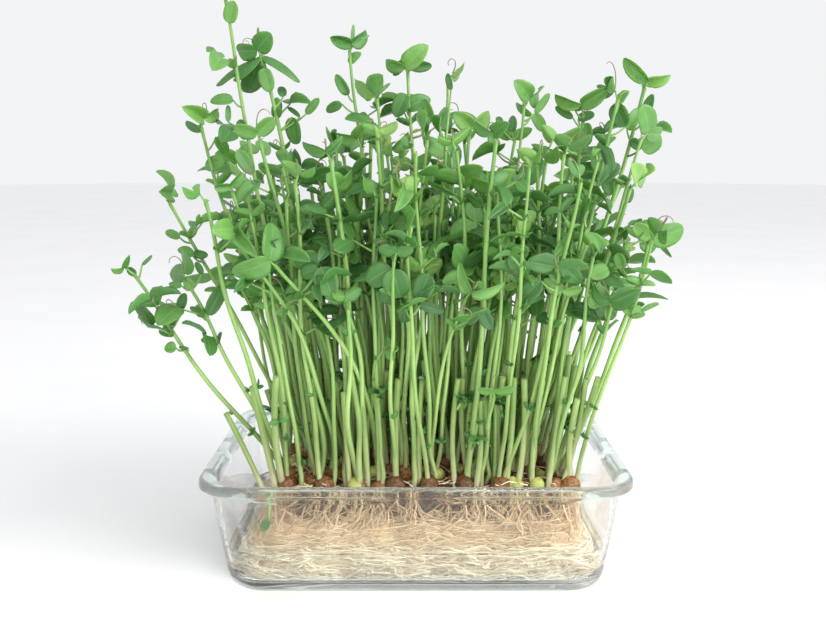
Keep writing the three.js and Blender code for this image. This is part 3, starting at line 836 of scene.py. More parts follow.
def leaf_plan(shoot, place, turn):
    """A leaf at a place counted from the tip down, at one of the ways round the stem that are tried."""
    keys = (*name_of(shoot), place)
    share = 0.995 if place == 0 else 1 - LEAF_STEP * place - between(-0.03, 0.03, *keys, 20)
    start = shoot_at(shoot, share)
    ahead = unit(shoot_at(shoot, share + 0.01) - shoot_at(shoot, share - 0.01))
    side = level(2 * math.pi * (chance(*keys, 21) + turn * 3 / TURNS))
    arm = unit(side + ahead * (2.2 if place == 0 else between(0.35, 0.9, *keys, 22)))
    reach = between(3.5, 6, *keys, 23) if place == 0 else between(8, 14, *keys, 23)
    tilt = arrow(between(-0.5, 0.5, *keys, 24), between(-0.7, 0.2, *keys, 25), 1)
    sky = side + 0.4 * tilt if place == 0 else tilt
    lateral = unit(np.cross(arm, sky))
    face = np.cross(lateral, arm)
    angle = between(1.0, 1.25, *keys, 26)
    leaflets = []
    for k, hand in enumerate((1, -1)):
        leaflets.append(
            dict(
                along=arm * math.cos(angle) + lateral * hand * math.sin(angle),
                across=arm * math.sin(angle) - lateral * hand * math.cos(angle),
                long=between(11, 16.5, *keys, k, 27),
                wide=between(0.7, 0.84, *keys, k, 28),
                rise=between(-0.25, 0.35, *keys, k, 29),
            )
        )
    return dict(start=start, arm=arm, lateral=lateral, face=face, reach=reach, leaflets=leaflets, keys=keys)


def leaflet_tip(leaf, leaflet):
    """The top corner of a solid leaflet's tip."""
    foot = leaf["start"] + leaf["arm"] * (leaf["reach"] + 0.4)
    long = leaflet["long"]
    wide = long * leaflet["wide"]
    flat = foot + leaflet["along"] * long + leaflet["across"] * 0.06 * wide
    return flat + leaf["face"] * (leaflet["rise"] * long + 0.22 * 0.06 * wide + BLADE / 2)


leaves = []
for place in range(3):
    for shoot in shoots:
        for turn in range(TURNS):
            leaf = leaf_plan(shoot, place, turn)
            if stands(shoot["plant"], [leaflet_tip(leaf, leaflet) for leaflet in leaf["leaflets"]]):
                leaves.append(leaf)
                shoot.setdefault("places", set()).add(place)
                break
print("leaves found in the solids:", len(leaves))

# %% Stubs of the first harvest
SINGLE_STUBS = {0: (-89, -58, 88), 7: (86, -56, 87)}


def stub_ends(plant, number, turn):
    root = stem_root(sites[plant], plant, 3 + number)
    if number == 0 and turn == 0 and plant in SINGLE_STUBS:
        return arrow(*root), arrow(*SINGLE_STUBS[plant])
    x, y = root[:2]
    u, v = outwards(x, y)
    keys = (plant, number, turn)
    aside, back = between(-8, 8, *keys, 61), between(-8, 8, *keys, 62)
    return arrow(*root), arrow(x + 7 * u + aside, y + 5 * v + back, between(STUB_LOW, STUB_HIGH, *keys, 63))


stubs = []
for plant in range(len(sites)):
    for number in range(2):
        for turn in range(3 * TURNS):
            root, top = stub_ends(plant, number, turn)
            if stands(plant, cut_corners(top, unit(top - root), STEM_LOW * 1.25, 1)):
                stubs.append(dict(plant=plant, number=number, root=root, top=top))
                break
print("stubs found in the solids:", len(stubs))

# %% [markdown]
# ## The rest of the crop
# A real tray is denser than solids can afford. Peas between the plants carry shoots of their own here.
# Each tries a few tips and takes the one that keeps furthest from the stems that already stand.
# Thinner ones then close the gaps, most of them at the back, where real stems hide all that is behind them.


# %% More shoots from the peas between
def loose_peas():
    peas = []
    for row in range(ROWS + 1):
        stagger = -0.08 if row % 2 else 0.08
        for column in range(COLUMNS + 1):
            n = row * (COLUMNS + 1) + column
            x = BED_LEFT + EDGE + (column + stagger + between(-0.06, 0.06, n, 51)) * SITE_WIDE
            y = BED_FRONT + EDGE + (row + between(-0.06, 0.06, n, 52)) * SITE_DEEP
            peas.append((x, y))
    return peas


LOOSE_FROM, THIN_FROM, SEEN_FROM = 200, 300, 400
THIN_SHOOTS, THIN_IN_FRONT = 92, 18
TRIES = 8
SHARES = np.linspace(0.08, 1, 12)
standing = [shoot_at(shoot, SHARES) for shoot in shoots]
more_shoots, more_stubs = [], []


def loose_shoot(x, y, n, number, turn):
    keys = (n, number, turn)
    u, v = outwards(x, y, LOOSE_REACH)
    way = any_way(*keys, 71)
    root = (x + 2 * math.cos(way), y + 2 * math.sin(way), LOOSE_CENTRE + 1)
    tip = (
        x + 25 * u + between(-12, 12, *keys, 72),
        y + 10 * v + between(-8, 8, *keys, 73),
        between(146, 218, *keys, 74) - 12 * (u * u + v * v) * chance(*keys, 75),
    )
    bow = (between(-5, 5, *keys, 76), between(-4, 4, *keys, 77))
    return dict(plant=LOOSE_FROM + n, number=number, root=root, tip=tip, bow=bow)


def thin_shoot(n, turn):
    keys = (n, turn)
    x = between(BED_LEFT + 4, BED_RIGHT - 4, *keys, 180)
    y = between(-57, -46, *keys, 181) if n < THIN_IN_FRONT else between(-26, BED_BACK - 4, *keys, 181)
    u = outwards(x, y, LOOSE_REACH)[0]
    aside = 24 * u + between(-9, 9, *keys, 182)
    tip = (x + aside, y + between(-8, 8, *keys, 183), between(140, 196, *keys, 184))
    bow = (between(-4, 4, *keys, 185), between(-3, 3, *keys, 186))
    return dict(plant=THIN_FROM + n, number=0, root=(x, y, BED_TOP + 1), tip=tip, bow=bow)


def plant_roomiest(tries, skip):
    """Keeps the try that stays furthest from every stem, where the lowest places of the path don't count."""

    def room(shoot):
        path = shoot_at(shoot, SHARES)
        return min(np.linalg.norm(other - path, axis=1)[skip:].min() for other in standing)

    best = max(tries, key=room)
    more_shoots.append(best)
    standing.append(shoot_at(best, SHARES))


for n, (x, y) in enumerate(loose_peas()):
    for number in range(2 if chance(n, 70) < 0.55 else 1):
        plant_roomiest([loose_shoot(x, y, n, number, turn) for turn in range(TRIES)], 2)
for n in range(THIN_SHOOTS):
    plant_roomiest([thin_shoot(n, turn) for turn in range(TRIES)], 1)
for n, (x, y) in enumerate(loose_peas()):
    if chance(n, 78) < 0.7:
        root = arrow(x + between(-2, 2, n, 79), y + between(-2, 2, n, 80), LOOSE_CENTRE + 1)
        u, v = outwards(x, y, LOOSE_REACH)
        lean = arrow(7 * u + between(-7, 7, n, 81), 5 * v + between(-7, 7, n, 82), 0)
        top = root + lean
        top[2] = between(92, 113, n, 83)
        more_stubs.append(dict(plant=LOOSE_FROM + n, number=0, root=root, top=top))
print("more shoots:", len(more_shoots), "more stubs:", len(more_stubs))

# %% [markdown]
# ## Stems
# A shoot is round, thins a little towards its tip and thickens slightly at each leaf.
# A stub is the same stem cut straight across by scissors, with a paler, slightly sunken cut.


# %% Draw shoots and stubs
LOWEST_LEAF = 118


def is_thin(shoot):
    return shoot["plant"] >= THIN_FROM


def leaf_places(shoot):
    """The places on a shoot where leaves sit, counted from the tip down."""
    tall = shoot["tip"][2]
    if is_thin(shoot):
        return [0, 1]
    most = 4 if tall > 200 else 3 if tall > 165 else 2
    return [place for place in range(most) if tall * (1 - LEAF_STEP * place) > LOWEST_LEAF or place == 0]


def stem_path(shoot, shares):
    """The shoot's path with the small bends of a real stem: a hook at the pea and a slight wave above."""
    keys = name_of(shoot)
    path = shoot_at(shoot, shares)
    height = (path[:, 2] - shoot["root"][2])[:, None]
    hook = level(any_way(*keys, 96)) * between(0.7, 3.2, *keys, 97)
    hook = hook * np.exp(-((height / 9) ** 2)) * (height > 0.01)
    ease = np.minimum(height / 30, 1) * (1 - shares[:, None])
    waves = np.sin(height / between(9, 15, *keys, 98) + arrow(6.28 * chance(*keys, 99), 1.7, 0))
    waves[:, 2] = 0
    return path + hook + between(0.5, 1.7, *keys, 100) * waves * ease


def draw_shoot(bundle, shoot):
    keys = name_of(shoot)
    count, sides = (14, 5) if is_thin(shoot) else (28, 7)
    shares = np.linspace(0, 1, count) ** 1.15
    thick = 0.86 + 0.34 * chance(*keys, 90)
    radii = thick * (STEM_LOW + (STEM_HIGH * 0.8 - STEM_LOW) * shares**1.2)
    for place in leaf_places(shoot):
        radii += 0.22 * np.exp(-(((shares - (1 - LEAF_STEP * place)) / 0.015) ** 2))
    rings = along_path(stem_path(shoot, shares), radii, sides)
    bundle.skin(rings, tube_grain(count, sides, chance(*keys, 91)))


def draw_stub(bundle, stub):
    """A short straight stem whose top ring is drawn in and sunk a little, for the cut."""
    keys = name_of(stub)
    count, sides = 10, 9
    shares = np.linspace(0, 1, count)[:, None]
    bend = arrow(between(-2, 2, *keys, 92), between(-2, 2, *keys, 93), 0)
    path = stub["root"] + (stub["top"] - stub["root"]) * shares + bend * np.sin(math.pi * shares)
    rings = along_path(path, np.full(count, STEM_LOW * (0.95 + 0.3 * chance(*keys, 94))), sides)
    cut = rings[-1:] - path[-1]
    rings = np.concatenate([rings, path[-1] + 0.8 * cut, path[-1] + 0.5 * cut - arrow(0, 0, 0.35)])
    grain = tube_grain(count + 2, sides, chance(*keys, 95), 0, 0.35)
    grain[-2:, :, 0] = 0.1
    bundle.skin(rings, grain)


# %% [markdown]
# ## Leaflets
# A pea leaflet is a broad oval, cupped along its rib and a little wavy at the edge.
# A grid that runs over the top and back under it gives a thin closed blade.
# Stipules are the same blade, smaller, in a pair that clasps the stem where a leaf leaves it.


# %% Draw a leaflet
FULL_GRID, SMALL_GRID = (9, 6), (6, 4)


def draw_leaflet(bundle, foot, axes, size, rise, tone, keys, fold, grid=FULL_GRID, bend=None):
    """
    One blade. Its axes point along it, across it and out of its face, and its size is its length and width.
    Rise and bend lift its tip as shares of its length, and fold is the slope of each half to its rib.
    In the lines below s goes from foot to tip, and t from edge to edge.
    """
    along, across, face = axes
    long, wide = size
    rows, columns = grid
    s = 0.5 - 0.5 * np.cos(np.linspace(0, math.pi, rows))
    half = 0.5 * np.clip(1 - np.abs(2 * s**0.88 - 1) ** 2.2, 0.0, 1) ** 0.5
    half = np.maximum(half, 0.012)
    t = np.linspace(-1, 1, columns + 1)
    wave = between(0.0, 0.035, *keys, 101)
    bend = between(-0.5, 0.08, *keys, 102) if bend is None else bend
    phase = 6.28 * chance(*keys, 103)
    tilt = math.atan(fold)
    y = half[:, None] * t[None, :] * wide
    up = math.sin(tilt) * np.sqrt(y**2 + 0.1) + rise * s[:, None] * long + bend * (s[:, None] ** 2) * long
    up = up + wave * long * np.sin(9 * s[:, None] + phase) * t[None, :] ** 2 * np.sign(t[None, :] + 0.01)
    reach = s * long * (1 - 0.25 * bend**2 * s)
    flat = foot + reach[:, None, None] * along + (y * math.cos(tilt))[..., None] * across
    thick = 0.15 * (1 - 0.6 * t[None, :] ** 2) / math.cos(tilt)
    top = flat + (up + thick)[..., None] * face
    low = flat + (up - thick)[..., None] * face
    rings = np.concatenate([top, low[:, ::-1]], axis=1)
    sides = np.concatenate([t, t[::-1]])
    if np.cross(along, across).dot(face) > 0:
        rings, sides = rings[:, ::-1], sides[::-1]
    grain = np.zeros((rows, len(sides), 3))
    grain[..., 0] = s[:, None]
    grain[..., 1] = sides
    grain[..., 2] = tone
    bundle.skin(rings, grain)


def blade_axes(along, beside):
    """Axes for a small blade whose edge lies square to a direction beside it."""
    across = unit(np.cross(along, beside))
    return along, across, np.cross(across, along)


LEAF_STALK = (0.6, 0.42, 0.5)


def draw_stalk(bundle, start, end, low, high, tone, sag=0.0):
    """A short stem between two points, with its radius at each end, its tone and how far its middle sags."""
    count, sides = 6, 6
    shares = np.linspace(0, 1, count)[:, None]
    path = start + (end - start) * shares - arrow(0, 0, 1) * sag * np.sin(math.pi * shares)
    rings = along_path(path, np.linspace(low, high, count), sides)
    bundle.skin(rings, tube_grain(count, sides, tone, 0.75, 1.0))


# %% [markdown]
# ## Tendrils and young tips
# Where a leaf stalk ends, a thread-thin tendril may go on and curl.
# The top of a shoot holds two or three leaflets that are still folded and pale.


# %% Draw a tendril
def draw_tendril(bundle, start, ahead, length, keys):
    count = 20
    s = np.linspace(0, 1, count)
    side = unit(np.cross(ahead, arrow(0.2, 0.3, 1)))
    third = np.cross(ahead, side)
    spin = 6.28 * chance(*keys, 112)
    curl_side = side * math.cos(spin) + third * math.sin(spin)
    sway_side = third * math.cos(spin) - side * math.sin(spin)
    curl = between(0.35, 1.3, *keys, 111) * 2 * math.pi
    angle = curl * s**2.2
    step = length / (count - 1)
    aside = np.cumsum(np.sin(angle)) * step
    forward = np.cumsum(np.cos(angle)) * step
    sway = 1.5 * np.sin(3 * s)
    path = start + np.outer(forward, ahead) + np.outer(aside, curl_side) + np.outer(sway, sway_side)
    bundle.skin(along_path(path, np.linspace(0.36, 0.16, count), 4), tube_grain(count, 4, 0.3))


# %% Draw one whole leaf with its stipules
def draw_stipules(leaf_bundle, start, ahead, out, size, tone, keys, grid=SMALL_GRID):
    """A pair of small leaves that clasp the stem on both sides of a stalk."""
    away = unit(np.cross(ahead, out))
    for k, hand in enumerate((1, -1)):
        along = unit(away * hand * 0.9 + ahead * between(0.1, 0.9, *keys, k, 108) + out * 0.35)
        across = unit(np.cross(out + 0.3 * ahead, along))
        axes = (along, across, np.cross(along, across))
        long = size * between(0.75, 1.15, *keys, k, 109)
        draw_leaflet(leaf_bundle, start, axes, (long, long * 0.6), 0.1, tone, (*keys, k, 9), 0.5, grid)


def draw_leaf(stem_bundle, leaf_bundle, leaf, shoot, place, scale):
    """Stalk, two leaflets and, on all but the thin shoots, stipules and now and then a tendril."""
    keys = leaf["keys"]
    grid = SMALL_GRID if is_thin(shoot) else FULL_GRID
    age = 0.12 + 0.5 * chance(*keys, 104) + (0.25 if place == 0 else 0.0)
    foot = leaf["start"] + leaf["arm"] * (leaf["reach"] + 0.2)
    draw_stalk(stem_bundle, leaf["start"], foot, *LEAF_STALK)
    shared = between(0.08, 0.55, *keys, 113) if chance(*keys, 114) < 0.5 else between(0.7, 1.5, *keys, 115)
    for k, leaflet in enumerate(leaf["leaflets"]):
        tone = min(max(age + between(-0.12, 0.12, *keys, k, 105), 0), 1)
        axes = (leaflet["along"], leaflet["across"], leaf["face"])
        long = leaflet["long"] * scale
        size = (long, long * leaflet["wide"])
        fold = shared * between(0.7, 1.3, *keys, k, 116)
        draw_leaflet(leaf_bundle, foot, axes, size, leaflet["rise"], tone, (*keys, k), fold, grid)
    if is_thin(shoot):
        return
    if chance(*keys, 106) < (0.5 if place < 2 else 0.2):
        draw_tendril(tendrils, foot, unit(leaf["arm"] + arrow(0, 0, 0.6)), between(9, 22, *keys, 107), keys)
    if place > 0:
        ahead = unit(shoot_at(shoot, 0.9) - shoot_at(shoot, 0.8))
        draw_stipules(leaf_bundle, leaf["start"], ahead, leaf["arm"], 9.0 * scale, min(age + 0.1, 1), keys)


def draw_young_tip(leaf_bundle, shoot, leaf):
    """Two or three folded leaflets at the tip, which are shorter where they point the topmost leaf's way."""
    arm = leaf["arm"]
    keys = (*name_of(shoot), 7)
    tip = shoot_at(shoot, 1.0)
    ahead = unit(tip - shoot_at(shoot, 0.97))
    for k in range(2 + int(chance(*keys, 120) < 0.6)):
        side = level(math.atan2(-arm[1], -arm[0]) + (k - 1) * 1.0 + between(-0.3, 0.3, *keys, k, 121))
        along, across, face = blade_axes(unit(ahead + side * between(0.25, 0.8, *keys, k, 122)), side)
        long = between(5.0, 9.0, *keys, k, 123)
        if max(leaflet["along"].dot(along) for leaflet in leaf["leaflets"]) > 0.35:
            long *= 0.4
        size = (long, long * 0.5)
        tone = between(0.35, 0.95, *keys, k, 124)
        axes = (along, across, -face)
        draw_leaflet(leaf_bundle, tip - ahead, axes, size, 0.05, tone, (*keys, k), 1.2, SMALL_GRID)


# %% [markdown]
# Low on a stem the leaves are only scales: two or three small dark points that hug it.
# Some stubs push out a tuft of new leaves beside the cut.


# %% Draw scale leaves and tufts
SCALE_GRID = (5, 2)


def draw_scales(leaf_bundle, start, ahead, keys):
    out = level(any_way(*keys, 150), 0.2)
    out = unit(out - ahead * out.dot(ahead))
    size, tone = between(2.8, 5.4, *keys, 151), between(0.1, 0.45, *keys, 152)
    draw_stipules(leaf_bundle, start + out, ahead, out, size, tone, keys, SCALE_GRID)
    if chance(*keys, 153) < 0.5:
        along = unit(ahead + out * 0.5)
        axes = (along, unit(np.cross(along, out)), out)
        long = between(3, 5, *keys, 154)
        size = (long, long * 0.4)
        draw_leaflet(leaf_bundle, start + out * 0.9, axes, size, 0.1, 0.2, (*keys, 3), 0.8, SCALE_GRID)


def draw_tuft(stem_bundle, leaf_bundle, start, keys):
    """A short side shoot with six small leaves that wind round it."""
    way = any_way(*keys, 160)
    lean = unit(level(way) * 0.6 + arrow(0, 0, 1))
    tip = start + lean * between(5, 11, *keys, 161)
    draw_stalk(stem_bundle, start, tip, 0.8, 0.5, 0.4)
    for k in range(6):
        side = level(way + k * SPIRAL, 0.2)
        axes = blade_axes(unit(side + lean * between(-0.3, 0.9, *keys, k, 162)), lean)
        long = between(4.5, 9, *keys, k, 163)
        size = (long, long * 0.62)
        foot = start + (tip - start) * (0.4 + 0.1 * k)
        tone = between(0, 0.3, *keys, k, 164)
        draw_leaflet(leaf_bundle, foot, axes, size, 0.0, tone, (*keys, k), 0.7, SMALL_GRID)


# %% Draw the plants, one bundle of stems and one of leaves for each pair of rows
stem_bundles = [Bundle() for _ in range(3)]
leaf_bundles = [Bundle() for _ in range(3)]
tendrils = Bundle()


def band_of(plant, y):
    if plant < LOOSE_FROM:
        return plant // COLUMNS // 2
    return min(2, max(0, int((y - BED_FRONT) / (BED_BACK - BED_FRONT) * 3)))


def leaf_size(shoot, place, is_found):
    """Leaves that the solids lack are smaller, and so are those of short shoots and of the leftmost tip."""
    scale = 1.0 if is_found else between(0.55, 0.95, *name_of(shoot), place, 117)
    x, _, tall = shoot["tip"]
    if tall < 120:
        scale *= 0.72
    if x < -120 and place == 0:
        scale *= 0.62
    return scale


found = {leaf["keys"]: leaf for leaf in leaves}
for shoot in shoots + more_shoots:
    own = name_of(shoot)
    band = band_of(shoot["plant"], shoot["root"][1])
    stem_bundle, leaf_bundle = stem_bundles[band], leaf_bundles[band]
    draw_shoot(stem_bundle, shoot)
    draw_young_tip(leaf_bundle, shoot, found.get((*own, 0)) or leaf_plan(shoot, 0, 1))
    for place in sorted(set(leaf_places(shoot)) | shoot.get("places", set())):
        leaf = found.get((*own, place))
        scale = leaf_size(shoot, place, leaf is not None)
        draw_leaf(stem_bundle, leaf_bundle, leaf or leaf_plan(shoot, place, 1), shoot, place, scale)
    for n, share in enumerate((between(0.1, 0.24, *own, 155), between(0.3, 0.44, *own, 156))):
        if chance(*own, n, 159) < 0.4:
            spot, above = stem_path(shoot, np.array([share, share + 0.02]))
            draw_scales(leaf_bundle, spot, unit(above - spot), (*own, n))
for stub in stubs + more_stubs:
    band = band_of(stub["plant"], stub["root"][1])
    draw_stub(stem_bundles[band], stub)
    stretch = stub["top"] - stub["root"]
    keys = (*name_of(stub), 5)
    if chance(*keys, 149) < 0.35:
        draw_scales(leaf_bundles[band], stub["root"] + stretch * 0.6, unit(stretch), keys)
    if chance(*keys, 157) < 0.25:
        start = stub["root"] + stretch * between(0.4, 0.9, *keys, 158)
        draw_tuft(stem_bundles[band], leaf_bundles[band], start, keys)
print("drawn:", len(shoots + more_shoots), "shoots and", len(stubs + more_stubs), "stubs")

# %% [markdown]
# ## Leaves seen by themselves
# Along the crown's outline and its front the photograph shows leaflets that stand out by themselves.
# Each is listed by where its foot and its tip show in the picture, how wide it looks,
# and how far back it stands in millimetres.
# The broad leaves along the front of the crown face the viewer, so they are turned less than the others.
# A fifth value is for a leaf that arches over: how far its tip droops, as a share of its length.
# A stalk joins it to the nearest shoot, so that it belongs to a plant from every side.

# %% The leaves that stand out
SEEN_LEAVES = [
    ((229, 23), (234, 1), 15, -10),
    ((260, 56), (233, 80), 19, 0, 0.3),
    ((258, 57), (248, 98), 25, 4),
    ((263, 68), (270, 92), 15, 0),
    ((261, 55), (300, 81), 21, 2, 0.5),
    ((256, 59), (216, 85), 16, 5, 0.35),
    ((259, 52), (258, 24), 4, 2),
    ((202, 131), (180, 122), 9, -6),
    ((216, 137), (229, 154), 12, -8),
    ((224, 161), (202, 166), 15, -8),
    ((237, 150), (252, 174), 15, -12),
    ((239, 120), (250, 140), 12, -8),
    ((228, 122), (228, 105), 6, -6),
    ((233, 100), (213, 98), 12, -4),
    ((273, 117), (281, 97), 12, 4),
    ((283, 97), (281, 85), 9, 4),
    ((292, 117), (297, 144), 17, 2),
    ((300, 117), (286, 104), 5, 2),
    ((306, 114), (319, 98), 9, 4),
    ((342, 104), (324, 110), 10, 16),
    ((348, 95), (336, 76), 11, 18),
    ((350, 64), (359, 47), 10, 20),
    ((352, 42), (354, 23), 4, 20),
    ((353, 43), (371, 35), 3, 20),
    ((374, 95), (356, 83), 4, 0),
    ((377, 95), (391, 81), 4, 0),
    ((407, 62), (391, 74), 12, 10),
    ((409, 66), (432, 66), 12, 10),
    ((406, 94), (395, 115), 17, 8),
    ((406, 108), (428, 96), 17, 10),
    ((432, 121), (421, 100), 14, 8),
    ((451, 90), (447, 73), 7, -12),
    ((532, 115), (510, 106), 8, 10),
    ((535, 113), (550, 93), 8, 10),
    ((533, 114), (546, 131), 12, 10),
    ((573, 118), (555, 107), 8, 8),
    ((575, 110), (587, 106), 5, 8),
    ((578, 119), (594, 114), 10, 8),
    ((587, 146), (584, 122), 18, 4),
    ((597, 150), (611, 134), 13, 2),
    ((619, 104), (628, 84), 9, -2),
    ((625, 127), (614, 104), 19, -2),
    ((627, 130), (640, 108), 13, 4),
    ((643, 81), (670, 83), 12, 6),
    ((643, 121), (651, 95), 11, 6),
    ((641, 148), (663, 137), 21, 2),
    ((641, 148), (630, 141), 9, 2),
    ((500, 127), (499, 114), 8, 16),
    ((512, 132), (513, 116), 9, 16),
    ((497, 153), (491, 133), 12, 10),
    ((487, 192), (480, 170), 14, -6),
    ((606, 170), (610, 195), 14, -16),
    ((640, 240), (660, 249), 19, -16),
    ((655, 237), (672, 258), 5, -16),
    ((629, 223), (644, 222), 6, -16),
    ((627, 203), (633, 187), 8, -14),
    ((318, 254), (295, 270), 20, -66),
    ((318, 268), (300, 275), 15, -67),
    ((321, 267), (332, 296), 24, -69),
    ((391, 268), (366, 282), 24, -69),
    ((392, 269), (401, 300), 27, -71),
    ((391, 289), (383, 305), 18, -64),
    ((405, 307), (405, 325), 14, -64),
    ((429, 274), (418, 301), 21, -70),
    ((420, 305), (445, 312), 11, -66),
    ((478, 308), (466, 325), 14, -66),
    ((480, 308), (491, 329), 13, -66),
    ((541, 281), (518, 301), 20, -66),
    ((527, 262), (555, 267), 17, -64),
    ((510, 256), (528, 277), 17, -66),
    ((561, 264), (583, 286), 17, -64),
    ((608, 268), (589, 276), 17, -58),
    ((606, 288), (590, 307), 18, -60),
    ((604, 308), (617, 319), 13, -58),
    ((622, 269), (617, 253), 12, -56),
    ((437, 126), (458, 111), 22, 6),
    ((136, 275), (127, 268), 8, -62),
    ((142, 265), (152, 256), 4, -62),
    ((180, 238), (164, 230), 9, -46),
    ((193, 256), (178, 245), 11, -46),
    ((194, 252), (207, 257), 10, -46),
    ((202, 274), (196, 262), 7, -48),
    ((182, 286), (169, 284), 7, -50),
    ((193, 290), (185, 278), 11, -50),
    ((182, 310), (183, 293), 11, -50),
    ((181, 312), (164, 327), 11, -50),
    ((208, 315), (224, 285), 15, -50),
    ((201, 314), (189, 306), 6, -50),
    ((176, 348), (165, 347), 12, -60),
    ((188, 348), (179, 348), 4, -60),
]


# %% Draw the leaves that stand out
stem_paths = np.concatenate([stem_path(shoot, np.linspace(0.3, 1, 50)) for shoot in shoots + more_shoots])


def nearest_stem(foot, lower=5):
    """The point of any shoot that is nearest to a place a little below a leaf's foot."""
    far = np.linalg.norm(stem_paths - (foot - arrow(0, 0, lower)), axis=1)
    return stem_paths[np.argmin(far)]


def turned_blade(n, foot, tip, to_camera, turned):
    """Axes and length of a leaf whose tip leans to or from the camera and whose face is turned a little."""
    lean = between(-0.45, 0.45, n, 170) * turned
    along = unit(unit(tip - foot) + lean * to_camera)
    flat = unit(np.cross(to_camera, along))
    across = unit(flat + between(-0.5, 0.5, n, 171) * turned * np.cross(along, flat))
    return (along, across, np.cross(along, across)), np.linalg.norm(tip - foot) * math.sqrt(1 + lean * lean)


def arched_blade(foot, tip, to_camera, droop):
    """Axes and length of a leaf seen from its side, whose far end comes down to the tip in the picture."""
    straight = unit(tip - foot)
    upward = unit(np.cross(tip - foot, to_camera))
    upward = upward * np.sign(upward[2])
    reach = 1 - 0.25 * droop * droop
    turn = math.atan2(droop, reach)
    along = straight * math.cos(turn) + upward * math.sin(turn)
    face = upward * math.cos(turn) - straight * math.sin(turn)
    return (along, np.cross(face, along), face), np.linalg.norm(tip - foot) / math.hypot(reach, droop)


longest = 0
for n, (foot_seen, tip_seen, wide_seen, depth, *droops) in enumerate(SEEN_LEAVES):
    foot, tip = at_picture(*foot_seen, depth), at_picture(*tip_seen, depth)
    to_camera = unit(arrow(*CAMERA_PLACE) - foot)
    wide = 1.08 * wide_seen * np.linalg.norm(tip - foot) / math.dist(foot_seen, tip_seen)
    turned = 0.35 if depth < -60 else 1
    if droops:
        axes, long = arched_blade(foot, tip, to_camera, droops[0])
        fold, bend, tone = -1.4, -droops[0], 0.3
    else:
        axes, long = turned_blade(n, foot, tip, to_camera, turned)
        fold, bend = between(0.15, 0.5, n, 174), None
        tone = between(0.1, 0.75, n, 172) * (0.25 + 0.75 * turned)
    band = band_of(LOOSE_FROM, depth)
    start = nearest_stem(foot)
    longest = max(longest, np.linalg.norm(foot - start))
    draw_stalk(stem_bundles[band], start, foot, *LEAF_STALK, sag=1.0)
    draw_leaflet(leaf_bundles[band], foot, axes, (long, wide), 0.0, tone, (n, 173), fold, bend=bend)
print("leaves that stand out:", len(SEEN_LEAVES), "with stalks up to", round(longest, 1), "mm")

# %% [markdown]
# One small shoot has grown over the mat's left front corner and hangs down inside the glass.
# Its stem starts at a pea, bends over the edge and ends in a single dark leaf.

# %% The shoot that hangs beside the roots
hanging_start = arrow(-66, -56, 52)
hanging_bend = at_picture(270, 503, -61)
hanging_foot = at_picture(269, 518, -63)
hanging_tip = at_picture(262, 530, -63)
draw_stalk(stem_bundles[0], hanging_start, hanging_bend, 0.7, 0.6, 0.4)
draw_stalk(stem_bundles[0], hanging_bend, hanging_foot, 0.6, 0.45, 0.4)
hanging_axes = (unit(hanging_tip - hanging_foot), arrow(0.86, 0, -0.5), arrow(0, -1, 0))
draw_leaflet(leaf_bundles[0], hanging_foot, hanging_axes, (7.2, 4.6), 0.0, 0.1, (9, 175), 0.3)
print("the hanging leaf's tip is at", hanging_tip.round(1))

# %% [markdown]
# The first harvest cut every shoot at one height, so the photograph shows the cut tops in front as a row.
# These are listed by where their foot and their top show. Three of them push out a tuft of dark new leaves.

# %% Cut tops in front of the shoots
SEEN_STUBS = [
    ((262, 478), (226, 413)),
    ((276, 478), (252, 386)),
    ((350, 480), (343, 392)),
    ((368, 480), (361, 379)),
    ((379, 480), (374, 380)),
    ((396, 480), (398, 379)),
    ((420, 480), (422, 377)),
    ((455, 480), (458, 379)),
    ((476, 480), (480, 400)),
    ((506, 480), (514, 378)),
    ((518, 480), (524, 379)),
    ((532, 480), (543, 380)),
    ((548, 480), (565, 377)),
    ((562, 478), (586, 379)),
]
TUFT_SHARES = {4: 0.78, 7: 0.72, 8: 0.5}
for n, (foot_seen, top_seen) in enumerate(SEEN_STUBS):
    depth = between(-57, -54, n, 190)
    root, top = at_picture(*foot_seen, depth), at_picture(*top_seen, depth - 1)
    root[2] = BED_TOP + 1
    draw_stub(stem_bundles[0], dict(plant=SEEN_FROM + n, number=0, root=root, top=top))
    if n in TUFT_SHARES:
        start = root + (top - root) * TUFT_SHARES[n]
        draw_tuft(stem_bundles[0], leaf_bundles[0], start, (SEEN_FROM + n, 5))
print("stubs seen in front:", len(SEEN_STUBS))

# %% Make the stems and leaves
for band, place in enumerate(("front", "middle", "back")):
    names = PLANT_NODES[2 * COLUMNS * band : 2 * COLUMNS * (band + 1)]
    pieces = [
        stem_bundles[band].make("stems_" + place, stem_green),
        leaf_bundles[band].make("leaves_" + place, leaf_green),
    ]
    for piece in pieces:
        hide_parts(*names)
tendrils.make("tendrils", tendril_brown)

# %% [markdown]
# ## Peas
# Soaked peas keep a wrinkled brown coat, and some split and show the green pea.
# A sphere is pushed in and out by noise: large soft dents first, then finer wrinkles.


# %% Draw the peas
PEA_SHAPE = (1, 0.95, 0.9)
DENT, WRINKLE = 0.14, 0.07


def draw_pea(bundle, centre, radius, tone, keys, rows=11, columns=16):
    seed = Vector((keys[0] * 7.3, len(keys) * 3.1, 0))
    spin = 6.28 * chance(*keys, 130)
    rings = np.zeros((rows, columns, 3))
    for i, a in enumerate(np.linspace(0.02, math.pi - 0.02, rows)):
        for j, b in enumerate(fan(columns)):
            way = Vector((math.sin(a) * math.cos(b + spin), math.sin(a) * math.sin(b + spin), -math.cos(a)))
            dent = DENT * noise.noise(way * 1.6 + seed) + WRINKLE * noise.noise(way * 5.0 + seed)
            rings[i, j] = np.array(way) * radius * (1 + dent)
    rings = rings * arrow(*PEA_SHAPE) + np.array(centre)
    bundle.skin(rings, tube_grain(rows, columns, tone))


